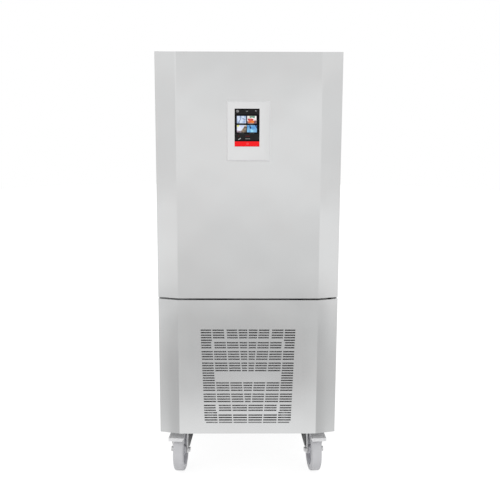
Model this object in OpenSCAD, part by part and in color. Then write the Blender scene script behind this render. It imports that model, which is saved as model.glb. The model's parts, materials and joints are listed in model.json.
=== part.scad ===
// Upright blast chiller on four casters: an insulated chamber behind one full-width door,
// over a machine compartment with a slotted front panel.
// Millimetres, +Z up, the front faces -Y, origin on the floor under the middle of the box.

/* [Overall] */
// Width of the cabinet, door and lower panel
width = 800; // [700:10:960]
// Height from the floor to the top edge of the door
height = 1950; // [1750:10:2340]
// Depth from the face of the display bezel to the screw heads at the back
depth = 870; // [800:10:1044]
// Height of the underside of the cabinet
base_z = 235; // [235:5:282]
// Height of the lower front panel
machine_h = 633; // [560:10:760]
// Thickness of the sheet metal
sheet = 1.5; // [1.25:0.25:1.8]

/* [Door and front] */
// Width of each slanted strip beside the flat front
chamfer_w = 89; // [74:1:107]
// How far the slanted strips fall back
chamfer_d = 25; // [21:1:30]
// Gap between the door and the lower panel
seam_gap = 8; // [7:0.5:9.6]
// Depth of the side faces of the door
door_side = 45; // [42:1:54]
// Gap that the door seal closes
gasket_gap = 10; // [9:0.5:12]
// How far the front of the door stands above the cabinet's top
door_lip = 20; // [17:1:24]
// Depth of the finger channel in the door's left edge
grip_depth = 28; // [24:1:33]
// Radius of the door's hinge pins
hinge_pin_r = 6; // [5:0.5:7]
// Distance of the hinge pins from the door's right side
hinge_inset = 20; // [18:1:22]

/* [Display] */
// Width of the display bezel
bezel_w = 186; // [170:1:223]
// Height of the display bezel
bezel_h = 258; // [240:1:310]
// How far the bezel stands off the door
bezel_t = 10; // [9:0.5:12]
// Height of the bezel's lower edge above the door's lower edge
bezel_rise = 611; // [509:1:680]
// Width of the screen glass
screen_w = 106; // [88:1:127]
// Height of the screen glass
screen_h = 161; // [134:1:190]

/* [Chamber] */
// Thickness of the insulation in the walls
foam_t = 60; // [50:1:72]
// Radius of the chamber's rounded edges
cove_r = 18; // [15:1:22]
// Distance from one tray level to the next
tray_pitch = 100; // [83:1:110]
// Width of the trays that the racks take
tray_w = 600; // [500:5:610]
// Room for the coil and the fans behind the fan panel
coil_room = 190; // [180:1:228]
// Radius of the openings in the fan panel
fan_hole_r = 135; // [112:1:150]

/* [Grille] */
// Height of one slot in the lower panel
slot_h = 5.8; // [5.0:0.1:6.9]
// Distance from one row of slots to the next
slot_pitch = 11.75; // [10:0.05:12.5]
// Extra distance between the bands of rows
band_gap = 7; // [5.8:0.1:8.4]
// Width of the bars between the slots
slot_bar = 5.5; // [4.5:0.1:6.6]

/* [Casters] */
// Diameter of the wheels
wheel_d = 200; // [167:1:200]
// Width of the wheels
wheel_w = 50; // [42:1:60]
// Distance from each swivel axis back to its axle
caster_trail = 50; // [42:1:56]
// Distance of the swivel axes from the middle
caster_x = 309; // [280:1:320]
// Angle by which the wheels stand turned outwards
caster_toe = 5.5; // [0:0.5:8]
// Radius of the axles
axle_r = 8; // [7:0.5:9]

/* [Hidden] */
$fn = 64;
fit = 0.05;                      // running clearance on a radius
play = 0.3;                      // clearance between parts that slide past each other
hw = width / 2;
front_y = -depth / 2;
face_y = front_y + bezel_t;      // flat front of the door and the lower panel
edge_y = face_y + chamfer_d;     // outer edges of the slanted strips
door_back_y = edge_y + door_side;
frame_y = door_back_y + gasket_gap;
screw_head = 3;
back_y = depth / 2 - screw_head; // outer face of the back
seam_z = base_z + machine_h;
door_z = seam_z + seam_gap;
cab_top = height - door_lip;
cap_z = cab_top - 2;             // top of the door behind its lip
inner_w = hw - sheet;
frame_t = 12;
flange = 25;
chamfer_l = sqrt(chamfer_w * chamfer_w + chamfer_d * chamfer_d);

// chamber
wall = foam_t + 3;
ch_x = inner_w - wall;
ch_z0 = door_z + foam_t;
ch_z1 = cab_top - sheet - foam_t;
ch_y0 = frame_y + frame_t;
ch_y1 = back_y - sheet - flange / 5 - foam_t;
liner_t = 1.5;
baffle_y = ch_y1 - coil_room;
fan_z = [for (s = [-1, 1]) (ch_z0 + ch_z1) / 2 + s * (ch_z1 - ch_z0) * 0.22];
fan_r = fan_hole_r - 8;
fan_t = 30;
fan_y = baffle_y + 8;
motor_y = fan_y + fan_t + 6;
motor_l = 52;
motor_r = 42;
shaft_r = 4;
rack_t = 12;
rack_z0 = ch_z0 + 54;
rack_levels = floor((ch_z1 - rack_z0 - 60) / tray_pitch) + 1;
rack_y = [ch_y0 + 30, baffle_y - 50];

// hinge
hinge_x = hw - hinge_inset;
hinge_y = door_back_y - hinge_inset + 1;
hinge_t = 5;
hinge_half = 13;
bush_r = hinge_pin_r + 5;
bush_h = 25;

// display
bezel_x = -2;
screen_x = -7.5;
slope_left = 5;                  // widths of the slanted edges of the bezel
slope_right = 16;
slope_low = 6;
slope_top = 5;
bezel_z = door_z + bezel_rise;
screen_z = bezel_z + 65;
glass_t = 3;
glass_y = front_y + 1.5;          // face of the screen glass, just inside the bezel
module_d = 26;
module_w = screen_w + 8;
module_h = screen_h + 10;

// machine compartment
floor_t = 3;
mc_z = base_z + floor_t;
coil_w = 520;
coil_h = 420;
coil_d = 60;
coil_y = frame_y + 20;
coil_z = mc_z + 60;
bend_pitch = 48;
bend_z = coil_z + 30;            // middle of the condenser's lowest bend
shroud_d = 50;
cfan_r = 170;
cfan_y = coil_y + coil_d + 20;
cfan_z = coil_z + coil_h / 2;
comp_x = 150;
comp_y = 150;
comp_r = 85;
comp_h = 150;
tray_z = mc_z + 40;
drain_y = ch_y1 - 35;
drain_r = 16;
neck_r = 14;                     // the drain where it passes the chassis and the tray
drain_end = base_z - 30;
gland_x = 130;
gland_y = back_y - 50;
gland_r = 7;
pipe_r = 5;

// casters
front_caster_y = edge_y + 160;
rear_caster_y = back_y + screw_head - caster_trail - wheel_d / 2;
plate_t = 8;
plate_x = 140;
plate_y = 120;
bolt_at = [52.5, 40];            // bolts of each mounting plate, from its middle
bolt_r = 5;
bolt_head_r = 8;
crown_r = 57;
crown_z = base_z - 30;
crown_top = base_z - 16;
king_r = 8;
leg_t = 4;
leg_x = wheel_w / 2 + 4;
tread_r = 9.5;                   // rounding of the tread's shoulders
leg_flange = 8;                  // width of the edge folded out along the front of each leg
nub_l = 12;                      // length of the axle's nuts beyond the legs
nub_r = 12;
pedal_y = -caster_trail - 16;
pedal_z = base_z - 27;
pedal_pin_r = 4;
pedal_in = -26;                  // ends of the pedal's lip, from the middle of its wheel
pedal_out = 44;
brace_y = -40;                   // lower end of the braces that lean back beside the fork's legs
brace_t = 4;
brace_out = crown_r + 4;         // outer edge of the braces at the top
brace_lean = 30;

// ---- shared shapes ----

// A block given by its lowest and highest corners
module block(a, b) {
    translate(a) cube([b[0] - a[0], b[1] - a[1], b[2] - a[2]]);
}

// A rod of length l that starts at p and runs along +X, +Y or +Z
module rod_x(p, r, l) { translate(p) rotate([0, 90, 0]) cylinder(r = r, h = l); }
module rod_y(p, r, l) { translate(p) rotate([-90, 0, 0]) cylinder(r = r, h = l); }
module rod_z(p, r, l) { translate(p) cylinder(r = r, h = l); }

// A box along Y whose four long edges are rounded
module tub(x, y0, y1, z0, z1, r) {
    block([-x + r, y0, z0], [x - r, y1, z1]);
    block([-x, y0, z0 + r], [x, y1, z1 - r]);
    for (s = [-1, 1], z = [z0 + r, z1 - r]) rod_y([s * (x - r), y0, z], r, y1 - y0);
}

// Outline of the front seen from above, drawn in by t and closed at rear
function front_outline(t, rear) = let (
        corner_y = edge_y + t * (chamfer_l - chamfer_d) / chamfer_w,
        flat_x = hw - chamfer_w - t * (chamfer_l - chamfer_w) / chamfer_d)
    [[-hw + t, rear], [-hw + t, corner_y], [-flat_x, face_y + t],
     [flat_x, face_y + t], [hw - t, corner_y], [hw - t, rear]];

module front_prism(t, rear, z0, z1) {
    translate([0, 0, z0]) linear_extrude(z1 - z0) polygon(front_outline(t, rear));
}

// The folded front sheet: flat front, two slanted strips and two side returns
module front_sheet(z0, z1) {
    difference() {
        front_prism(0, door_back_y, z0, z1);
        front_prism(sheet, door_back_y + 1, z0 - 1, z1 + 1);
    }
}

// A frame around an opening, lying in the XZ plane
module ring_xz(x_out, z_out0, z_out1, x_in, z_in0, z_in1, y0, y1) {
    difference() {
        block([-x_out, y0, z_out0], [x_out, y1, z_out1]);
        block([-x_in, y0 - 1, z_in0], [x_in, y1 + 1, z_in1]);
    }
}

// ---- cabinet ----

module side_panel(s) {
    color("silver") difference() {
        mirror([s < 0 ? 1 : 0, 0, 0]) {
            block([inner_w, frame_y, base_z], [hw, back_y, cab_top]);
            block([inner_w - flange, back_y - 2 * sheet, mc_z], [inner_w, back_y - sheet, cab_top - sheet]);
        }
        cover_screw_holes(concat(back_screw_z(), vent_screw_z()));
    }
}

module top_panel() {
    color("silver") difference() {
        block([-inner_w, frame_y, cab_top - sheet], [inner_w, back_y, cab_top]);
        for (y = upper_bracket_screws()) rod_z([hinge_x, y, cab_top - 5], 2.5, 10);
    }
}

module back_panel() {
    color("silver") difference() {
        block([-inner_w, back_y - sheet, seam_z], [inner_w, back_y, cab_top - sheet]);
        cover_screw_holes(back_screw_z());
    }
}

function back_screw_z() = [seam_z + 40, (seam_z + cab_top) / 2, cab_top - 40];
function vent_screw_z() = [mc_z + 40, seam_z - 40];
screw_x = inner_w - flange / 2;
// places of the fan panel's screws across and up
function baffle_screws() = [
    for (s = [-1, 1], x = [0.35, 0.85], z = [ch_z0 + 60, ch_z1 - 60]) [s * x * (ch_x - 40), z]];

module cover_screw_holes(levels) {
    for (s = [-1, 1], z = levels) rod_y([s * screw_x, back_y - 20, z], 2.5, 30);
}

module base_chassis() {
    color("dimgray") difference() {
        union() {
            block([-inner_w, frame_y, base_z], [inner_w, back_y, mc_z]);
            for (y = [frame_y, back_y - sheet - flange - 2])
                block([-inner_w + flange + 4, y, mc_z], [inner_w - flange - 4, y + 2, mc_z + 25]);
        }
        rod_z([0, drain_y, base_z - 1], neck_r, 10);
        rod_z([gland_x, gland_y, base_z - 1], 10, 10);
        for (p = caster_points()) translate([p[0], p[1], 0]) plate_bolt_holes();
        for (p = feet_points()) rod_z([p[0], p[1], base_z - 1], 4, 10);
    }
}

module front_frame() {
    post_x = inner_w - flange;
    color("gainsboro") difference() {
        union() {
            difference() {
                block([-inner_w, frame_y, seam_z], [inner_w, ch_y0, cab_top - sheet]);
                tub(ch_x, frame_y - 1, ch_y0 + 1, ch_z0, ch_z1, cove_r);
            }
            block([-inner_w, ch_y0, seam_z], [inner_w, back_y - 2 * sheet, seam_z + sheet]);
            for (s = [0, 1]) mirror([s, 0, 0])
                block([post_x, frame_y, mc_z], [inner_w, ch_y0, seam_z]);
        }
        upper_bracket_room();
        pass_throughs();
        for (s = [-1, 1]) block([s * (inner_w - flange / 2) - flange / 2 - 0.1, back_y - 2 * sheet - 0.1, seam_z - 1],
            [s * (inner_w - flange / 2) + flange / 2 + 0.1, back_y, seam_z + sheet + 1]);
        for (z = lower_bracket_screws()) rod_y([hinge_x - 6, frame_y - 1, z], 2.5, 15);
    }
}

// Everything that runs through the insulation under or over the chamber
module pass_throughs() {
    rod_z([0, drain_y, mc_z], 12, ch_z0 - mc_z + 5);
    for (x = pipe_up_x) rod_z([x, pipe_up_y, mc_z], pipe_r + play, ch_z0 - mc_z + 5);
}

module upper_bracket_room() {
    block([hinge_x - hinge_half, frame_y - 1, cab_top - sheet - 1], [hinge_x + hinge_half, frame_y, cab_top]);
}

module chamber_liner() {
    color("lightgray") difference() {
        tub(ch_x + liner_t, ch_y0, ch_y1 + liner_t, ch_z0 - liner_t, ch_z1 + liner_t, cove_r + liner_t);
        tub(ch_x, ch_y0 - 1, ch_y1, ch_z0, ch_z1, cove_r);
        pass_throughs();
        rod_x([ch_x - 1, probe_y, probe_z], 8, 5);
    }
}

module cabinet_foam() {
    color("wheat") difference() {
        block([-inner_w, ch_y0, seam_z + sheet], [inner_w, back_y - 2 * sheet, cab_top - sheet]);
        tub(ch_x + liner_t, ch_y0 - 1, ch_y1 + liner_t, ch_z0 - liner_t, ch_z1 + liner_t, cove_r + liner_t);
        pass_throughs();
        rod_x([ch_x - 1, probe_y, probe_z], 8, 26);
        cover_screw_holes(back_screw_z());
        for (y = upper_bracket_screws()) rod_z([hinge_x, y, cab_top - 20], 2.5, 25);
    }
}

probe_y = ch_y0 + 90;
probe_z = ch_z1 - 60;

module probe_gland() {
    color("black") difference() {
        union() {
            rod_x([ch_x - 8, probe_y, probe_z], 13, 8);
            rod_x([ch_x, probe_y, probe_z], 8, 20);
        }
        rod_x([ch_x - 10, probe_y, probe_z], 2.5, 40);
    }
}

// ---- slotted lower panel ----

rows = 36;
bands = [8, 12, 24, 28];         // rows after which a wider bar follows
grille_drop = 139;               // from the panel's top to the middle of the first row
grille_top = seam_z - grille_drop;
// distance of each bar from the middle at the top and at the bottom, from the outside in
bar_top = [212, 162, 102, 46, 0];
bar_low = [196, 134, 67, 7, 0];

function bands_above(i) = len([for (b = bands) if (i >= b) 1]);
function row_z(i) = grille_top - i * slot_pitch - bands_above(i) * band_gap;
grille_h = row_z(0) - row_z(rows - 1);
function bar_x(k, z) = bar_top[k] + (bar_low[k] - bar_top[k]) * (row_z(0) - z) / grille_h;
// which bars cross a row: ends only, three bars and the middle, or fewer lower down
function row_bars(i) =
    i == 4 || (i >= 16 && i < 20) || i == 31 ? [0, 1] :
    i < 16 ? [0, 1, 2, 3, 4] :
    i < 28 ? [0, 1, 2, 3] : [0, 1, 2, 4];
function bar_w(k, i) =
    k == 2 && i < 4 ? 2.2 * slot_bar :
    k == 1 && ((i > 4 && i < 8) || (i > 27 && i < 31)) ? 2.6 * slot_bar : slot_bar;

module slot_row(i) {
    z = row_z(i);
    bars = row_bars(i);
    last = bars[len(bars) - 1];
    for (s = [0, 1]) mirror([s, 0, 0]) for (n = [0:len(bars) - 2]) {
        outer = bar_x(bars[n], z) - (n == 0 ? (i == rows - 1 ? 6 : 0) : bar_w(bars[n], i) / 2);
        inner = bar_x(bars[n + 1], z) + bar_w(bars[n + 1], i) / 2;
        block([inner, face_y - 1, z - slot_h / 2], [outer, face_y + sheet + 1, z + slot_h / 2]);
    }
    if (last == 3) {
        middle = bar_x(3, z) - bar_w(3, i) / 2;
        block([-middle, face_y - 1, z - slot_h / 2], [middle, face_y + sheet + 1, z + slot_h / 2]);
    }
}

module lower_front_panel() {
    color("silver") difference() {
        front_prism(0, frame_y, base_z, seam_z);
        front_prism(sheet, frame_y + 1, base_z + sheet, seam_z - sheet);
        block([-inner_w + flange, edge_y + 15, base_z - 1], [inner_w - flange, frame_y + 1, base_z + 5]);
        for (i = [0:rows - 1]) slot_row(i);
        lower_bracket_room();
    }
}

// ---- back of the machine compartment ----

louvre_rows = 14;
louvre_pitch = 24;
louvre_x = 220;                  // distance between the three columns
louvre_half = 90;
louvre_h = 8;
louvre_low = mc_z + 120;

module rear_vent_cover() {
    color("silver") difference() {
        block([-inner_w, back_y - sheet, mc_z], [inner_w, back_y, seam_z]);
        cover_screw_holes(vent_screw_z());
        for (c = [-1, 0, 1], i = [0:louvre_rows - 1])
            block([c * louvre_x - louvre_half, back_y - 5, louvre_low + i * louvre_pitch],
                  [c * louvre_x + louvre_half, back_y + 1, louvre_low + louvre_h + i * louvre_pitch]);
    }
}

module screw(p, length, dir) {
    translate(p) rotate(dir) {
        cylinder(r = 5, h = screw_head);
        translate([0, 0, -length]) cylinder(r = 2.4, h = length);
    }
}

module panel_screws() {
    color("gray") {
        for (s = [-1, 1], z = concat(back_screw_z(), vent_screw_z()))
            screw([s * screw_x, back_y, z], 10, [-90, 0, 0]);
        for (p = baffle_screws()) screw([p[0], baffle_y, p[1]], 8, [90, 0, 0]);
        for (z = lower_bracket_screws()) screw([hinge_x - 6, frame_y - hinge_t, z], 14, [90, 0, 0]);
        for (y = upper_bracket_screws()) screw([hinge_x, y, cab_top + hinge_t], 12, [0, 0, 0]);
    }
}

// ---- refrigeration ----

fin_pitch = 8;
fin_t = 1.6;

// A finned coil: upright fins between two end plates, joined along the top, bottom and back
module fin_block(x, y0, y1, z0, z1) {
    count = floor((2 * x - 6) / fin_pitch);
    difference() {
        block([-x, y0, z0], [x, y1, z1]);
        for (k = [0:count - 1]) {
            gap_x = (k - count / 2) * fin_pitch + fin_t / 2;
            block([gap_x, y0 - 1, z0 + 6], [gap_x + fin_pitch - fin_t, y1 - 6, z1 - 6]);
        }
    }
}

// A half turn of tube on the right side of a coil, around a point between two levels
module return_bend(p, bend_r) {
    translate(p) rotate([90, 0, 0]) rotate([0, 0, -90])
        rotate_extrude(angle = 180) translate([bend_r, 0]) circle(r = pipe_r);
}

module condenser_coil() {
    bend_r = 12;
    color("darkgray") {
        fin_block(coil_w / 2, coil_y, coil_y + coil_d, coil_z, coil_z + coil_h);
        for (s = [0, 1]) mirror([s, 0, 0]) {
            for (k = [0:7]) return_bend([coil_w / 2, coil_y + coil_d / 2, bend_z + (k + s / 2) * bend_pitch], bend_r);
            block([coil_w / 3 - 15, coil_y, mc_z], [coil_w / 3 + 15, coil_y + coil_d, coil_z]);
        }
    }
}

module condenser_shroud() {
    y0 = coil_y + coil_d;
    color("dimgray") difference() {
        block([-coil_w / 2, y0, coil_z], [coil_w / 2, y0 + shroud_d, coil_z + coil_h]);
        block([-coil_w / 2 + 2, y0 - 1, coil_z + 2], [coil_w / 2 - 2, y0 + shroud_d - 2, coil_z + coil_h - 2]);
        rod_y([0, y0, cfan_z], cfan_r + 8, shroud_d + 10);
    }
}

// A hub with tilted flat blades and the shaft that enters the motor
module fan_wheel(y, z, r, t, blades, pitch) {
    hub_r = r * 0.24;
    blade_w = t * 1.8;
    blade_t = 2;
    rod_y([0, y, z], hub_r, t);
    intersection() {
        rod_y([0, y + 1, z], r, t - 2);
        translate([0, y + t / 2, z]) for (k = [0:blades - 1])
            rotate([0, k * 360 / blades, 0]) rotate([0, 0, pitch])
                translate([-blade_w / 2, -blade_t / 2, hub_r - 4]) cube([blade_w, blade_t, r]);
    }
    rod_y([0, y + t, z], shaft_r, 26);
}

module fan_motor(y, z, r, l) {
    difference() {
        rod_y([0, y, z], r, l);
        rod_y([0, y - 1, z], shaft_r + fit, 22);
    }
}

module condenser_fan() {
    color("black") fan_wheel(cfan_y, cfan_z, cfan_r, fan_t, 7, 32);
}

module condenser_fan_motor() {
    my = cfan_y + fan_t + 6;
    leg_y = coil_y + coil_d + shroud_d;
    color("darkslategray") {
        fan_motor(my, cfan_z, 50, 70);
        for (a = [45, 135, 225, 315]) translate([0, 0, cfan_z]) rotate([0, a, 0]) {
            block([46, my + 50, -6], [cfan_r + 22, my + 56, 6]);
            block([cfan_r + 16, leg_y, -6], [cfan_r + 22, my + 50, 6]);
        }
    }
}

function feet_points() = [for (sx = [-1, 1], sy = [-1, 1]) [comp_x + sx * 80, comp_y + sy * 60]];

module compressor() {
    z = mc_z + 24;
    color("black") {
        difference() {
            union() {
                rod_z([comp_x, comp_y, z + 3], comp_r, comp_h - 40);
                translate([comp_x, comp_y, z + 3 + comp_h - 40]) rotate_extrude()
                    intersection() {
                        square([comp_r, 60]);
                        translate([comp_r - 40, 0]) circle(r = 40);
                    }
                rod_z([comp_x, comp_y, z + 3], comp_r - 40, comp_h);
                block([comp_x - 95, comp_y - 75, z], [comp_x + 95, comp_y + 75, z + 3]);
                block([comp_x + 50, comp_y - 36, z + 40], [comp_x + comp_r + 26, comp_y + 36, z + 108]);
            }
            for (p = feet_points()) rod_z([p[0], p[1], z - 1], 6, 6);
        }
    }
}

module compressor_feet() {
    color("darkred") for (p = feet_points()) {
        rod_z([p[0], p[1], mc_z], 12, 24);
        rod_z([p[0], p[1], mc_z + 24], 6, 3);
        rod_z([p[0], p[1], mc_z + 27], 11, 4);
        rod_z([p[0], p[1], base_z], 4, floor_t);
    }
}

receiver_x = -230;
receiver_y = 120;
receiver_r = 40;
receiver_h = 180;

module liquid_receiver() {
    color("dimgray") {
        rod_z([receiver_x, receiver_y, mc_z + 18], receiver_r, receiver_h);
        translate([receiver_x, receiver_y, mc_z + 18 + receiver_h]) rotate_extrude() intersection() {
            square([receiver_r, 30]);
            translate([receiver_r - 30, 0]) circle(r = 30);
        }
        rod_z([receiver_x, receiver_y, mc_z + 18 + receiver_h], receiver_r - 30, 30);
        rod_z([receiver_x, receiver_y, mc_z], receiver_r - 10, 18);
    }
}

drier_x = receiver_x + 95;
drier_z = mc_z + 150;

module filter_drier() {
    color("goldenrod") {
        rod_z([drier_x, receiver_y, drier_z], 22, 110);
        rod_z([drier_x, receiver_y, drier_z - 14], 8, 14);
        rod_z([drier_x, receiver_y, drier_z + 110], 8, 14);
    }
}

pipe_up_x = [200, 230];
pipe_up_y = ch_y1 - 30;

// A pipe from p to q with square runs: across, back and up, joined by balls
module pipe_run(pts, r) {
    for (i = [0:len(pts) - 2]) {
        d = pts[i + 1] - pts[i];
        l = norm(d);
        translate(pts[i]) {
            if (abs(d[0]) > 0.01) rotate([0, d[0] > 0 ? 90 : -90, 0]) cylinder(r = r, h = l);
            else if (abs(d[1]) > 0.01) rotate([d[1] > 0 ? -90 : 90, 0, 0]) cylinder(r = r, h = l);
            else translate([0, 0, d[2] > 0 ? 0 : -l]) cylinder(r = r, h = l);
        }
        if (i > 0) translate(pts[i]) sphere(r = r);
    }
}

module refrigerant_pipes() {
    top_z = ch_z0 + 40;
    comp_z = mc_z + 27 + comp_h;
    lid_z = mc_z + 48 + receiver_h;
    dry_z = drier_z + 124;
    mid_z = bend_z + 5.5 * bend_pitch;
    color("peru") {
        // suction line from the coil down to the compressor
        pipe_run([[pipe_up_x[0], pipe_up_y, top_z], [pipe_up_x[0], pipe_up_y, mid_z + 60],
                  [comp_x + 30, pipe_up_y, mid_z + 60], [comp_x + 30, comp_y, mid_z + 60],
                  [comp_x + 30, comp_y, comp_z]], pipe_r);
        // discharge line from the compressor forward to the condenser
        pipe_run([[comp_x - 20, comp_y, comp_z], [comp_x - 20, comp_y, mid_z],
                  [coil_w / 2 + 40, comp_y, mid_z], [coil_w / 2 + 40, coil_y + coil_d / 2, mid_z],
                  [coil_w / 2, coil_y + coil_d / 2, mid_z]], pipe_r);
        // from the condenser to the receiver
        pipe_run([[-coil_w / 2, coil_y + coil_d / 2, coil_z + 10], [-coil_w / 2 - 40, coil_y + coil_d / 2, coil_z + 10],
                  [-coil_w / 2 - 40, receiver_y, coil_z + 10], [receiver_x - receiver_r, receiver_y, coil_z + 10]], pipe_r);
        // receiver to the drier
        pipe_run([[receiver_x, receiver_y, lid_z], [receiver_x, receiver_y, dry_z + 30],
                  [drier_x, receiver_y, dry_z + 30], [drier_x, receiver_y, dry_z]], pipe_r);
        // drier up to the coil
        pipe_run([[drier_x, receiver_y, drier_z - 14], [drier_x, receiver_y, drier_z - 40],
                  [drier_x, pipe_up_y + 25, drier_z - 40], [pipe_up_x[1], pipe_up_y + 25, drier_z - 40],
                  [pipe_up_x[1], pipe_up_y, drier_z - 40], [pipe_up_x[1], pipe_up_y, top_z]], pipe_r);
    }
}

module control_box() {
    x1 = -inner_w;
    z0 = mc_z + 250;
    box = [90, 260, 300];
    y0 = -20;
    t = 2;
    color("lightgray") {
        difference() {
            block([x1, y0, z0], [x1 + box[0], y0 + box[1], z0 + box[2]]);
            block([x1 + t, y0 + t, z0 + t], [x1 + box[0] - t, y0 + box[1] - t, z0 + box[2] - t]);
        }
        // board and the relays on it
        block([x1 + t, y0 + 20, z0 + 30], [x1 + t + 4, y0 + box[1] - 20, z0 + box[2] - 30]);
        for (k = [0:3]) block([x1 + t + 4, y0 + 40 + k * 48, z0 + 60], [x1 + t + 44, y0 + 74 + k * 48, z0 + 130]);
    }
}

tray_y = [drain_y - 70, drain_y + 20];
tray_half = 90;
tray_deep = 40;
tray_leg = 16;

module condensate_tray() {
    color("dimgray") difference() {
        union() {
            block([-tray_half, tray_y[0], tray_z], [tray_half, tray_y[1], tray_z + tray_deep]);
            for (s = [-1, 1]) block([s * (tray_half - 10) - tray_leg / 2, tray_y[0], mc_z],
                [s * (tray_half - 10) + tray_leg / 2, tray_y[1], tray_z]);
        }
        block([-tray_half + 2, tray_y[0] + 2, tray_z + 2], [tray_half - 2, tray_y[1] - 2, tray_z + tray_deep + 1]);
        rod_z([0, drain_y, tray_z - 1], neck_r, 5);
    }
}

module drain_pipe() {
    color("white") difference() {
        union() {
            rod_z([0, drain_y, tray_z + 20], 12, ch_z0 - tray_z - 20);
            rod_z([0, drain_y, drain_end], drain_r, base_z - drain_end);
            rod_z([0, drain_y, base_z], neck_r, tray_z + 2 - base_z);
            rod_z([0, drain_y, tray_z + 2], 12.5, 18);
        }
        rod_z([0, drain_y, drain_end - 1], 9.5, ch_z0 - drain_end + 2);
    }
}

module power_gland() {
    color("black") difference() {
        union() {
            rod_z([gland_x, gland_y, base_z - 20], 13, 20);
            rod_z([gland_x, gland_y, base_z], 10, floor_t);
            rod_z([gland_x, gland_y, mc_z], 13, 6);
        }
        rod_z([gland_x, gland_y, base_z - 21], gland_r, 40);
    }
}

coil_front = motor_y + motor_l + 8;

module evaporator_coil() {
    bend_r = 14;
    x = ch_x - 60;
    color("lightsteelblue") {
        difference() {
            union() {
                fin_block(x, coil_front, ch_y1 - 12, ch_z0 + 50, ch_z1 - 50);
                for (s = [0, 1]) mirror([s, 0, 0]) for (k = [0:11])
                    return_bend([x, (coil_front + ch_y1) / 2 - 6, ch_z0 + 90 + k * 60 + s * 30], bend_r);
            }
            for (px = pipe_up_x) rod_z([px, pipe_up_y, ch_z0], pipe_r, 60);
        }
        for (s = [-1, 1]) block([s * x * 0.9 - 10, coil_front, ch_z0], [s * x * 0.9 + 10, coil_front + 30, ch_z0 + 50]);
    }
}

module fan_panel() {
    color("silver") difference() {
        union() {
            block([-ch_x + 12, baffle_y, ch_z0 + 24], [ch_x - 12, baffle_y + 1.5, ch_z1 - 24]);
            for (s = [0, 1]) mirror([s, 0, 0])
                block([ch_x - 13.5, baffle_y, ch_z0 + 24], [ch_x - 12, baffle_y + 40, ch_z1 - 24]);
            for (s = [0, 1], z = [ch_z0 + 120, ch_z1 - 160]) mirror([s, 0, 0])
                block([ch_x - 12, baffle_y + 5, z], [ch_x, baffle_y + 35, z + 40]);
        }
        for (z = fan_z) rod_y([0, baffle_y - 1, z], fan_hole_r, 4);
        for (p = baffle_screws()) rod_y([p[0], baffle_y - 1, p[1]], 2.5, 4);
    }
}

module evaporator_fan(z) {
    color("black") fan_wheel(fan_y, z, fan_r, fan_t, 5, 32);
}

module evaporator_fan_motors() {
    color("darkslategray") for (z = fan_z) {
        fan_motor(motor_y, z, motor_r, motor_l);
        for (a = [45, 135, 225, 315]) translate([0, 0, z]) rotate([0, a, 0]) {
            block([motor_r - 4, motor_y + 30, -5], [fan_hole_r + 12, motor_y + 35, 5]);
            block([fan_hole_r + 7, baffle_y + 1.5, -5], [fan_hole_r + 12, motor_y + 30, 5]);
        }
    }
}

module fan_guards() {
    wire = 3;
    y0 = baffle_y - 10;
    r_out = fan_hole_r + 6;
    color("silver") for (z = fan_z) translate([0, 0, z]) {
        for (k = [0:7]) guard_ring(r_out - k * 16, y0, wire);
        for (a = [0:45:135]) rotate([0, a, 0])
            block([-r_out - wire / 2, y0 + wire, -wire / 2], [r_out + wire / 2, y0 + 2 * wire, wire / 2]);
        for (a = [0:45:315]) rotate([0, a, 0])
            block([r_out - wire / 2, y0 + wire, -wire / 2], [r_out + wire / 2, baffle_y, wire / 2]);
    }
}

module guard_ring(r, y, wire) {
    difference() {
        rod_y([0, y, 0], r + wire / 2, wire);
        rod_y([0, y - 1, 0], r - wire / 2, wire + 2);
    }
}

// Two posts on the liner and the angled ledges that hook onto them
module tray_rack(s) {
    ledge_in = tray_w / 2 - 12;
    ledge_t = 2;
    web_x = ch_x - rack_t;
    hook_x = web_x - play;
    color("silver") mirror([s < 0 ? 1 : 0, 0, 0]) {
        for (y = rack_y) block([web_x, y, ch_z0 + cove_r + 4], [ch_x, y + 20, ch_z1 - cove_r - 4]);
        for (k = [0:rack_levels - 1]) {
            z = rack_z0 + k * tray_pitch;
            block([ledge_in, rack_y[0] - 20, z], [hook_x, rack_y[1] + 40, z + ledge_t]);
            block([hook_x - ledge_t, rack_y[0] - 20, z], [hook_x, rack_y[1] + 40, z + 16]);
        }
    }
}

// ---- hinge ----

function lower_bracket_screws() = [seam_z - 24, seam_z - 54];
function upper_bracket_screws() = [frame_y + 22, frame_y + 62];

module lower_bracket_room() {
    block([hinge_x - hinge_half - 2, edge_y + 12, seam_z - 75], [hinge_x + hinge_half + 2, frame_y + 2, seam_z + 1]);
}

module hinge_bracket_lower() {
    z = seam_z + 1.5;
    color("gray") difference() {
        union() {
            block([hinge_x - hinge_half, hinge_y, z], [hinge_x + hinge_half, frame_y, z + hinge_t]);
            rod_z([hinge_x, hinge_y, z], hinge_half, hinge_t);
            block([hinge_x - hinge_half, frame_y - hinge_t, seam_z - 70], [hinge_x + hinge_half, frame_y, z]);
            rod_z([hinge_x, hinge_y, z + hinge_t], bush_r - 1, door_z - z - hinge_t - 0.1);
            rod_z([hinge_x, hinge_y, z + hinge_t], hinge_pin_r, bush_h + door_z - z - hinge_t - 3);
        }
        for (sz = lower_bracket_screws()) rod_y([hinge_x - 6, frame_y - hinge_t - 1, sz], 2.5, hinge_t + 2);
    }
}

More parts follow.
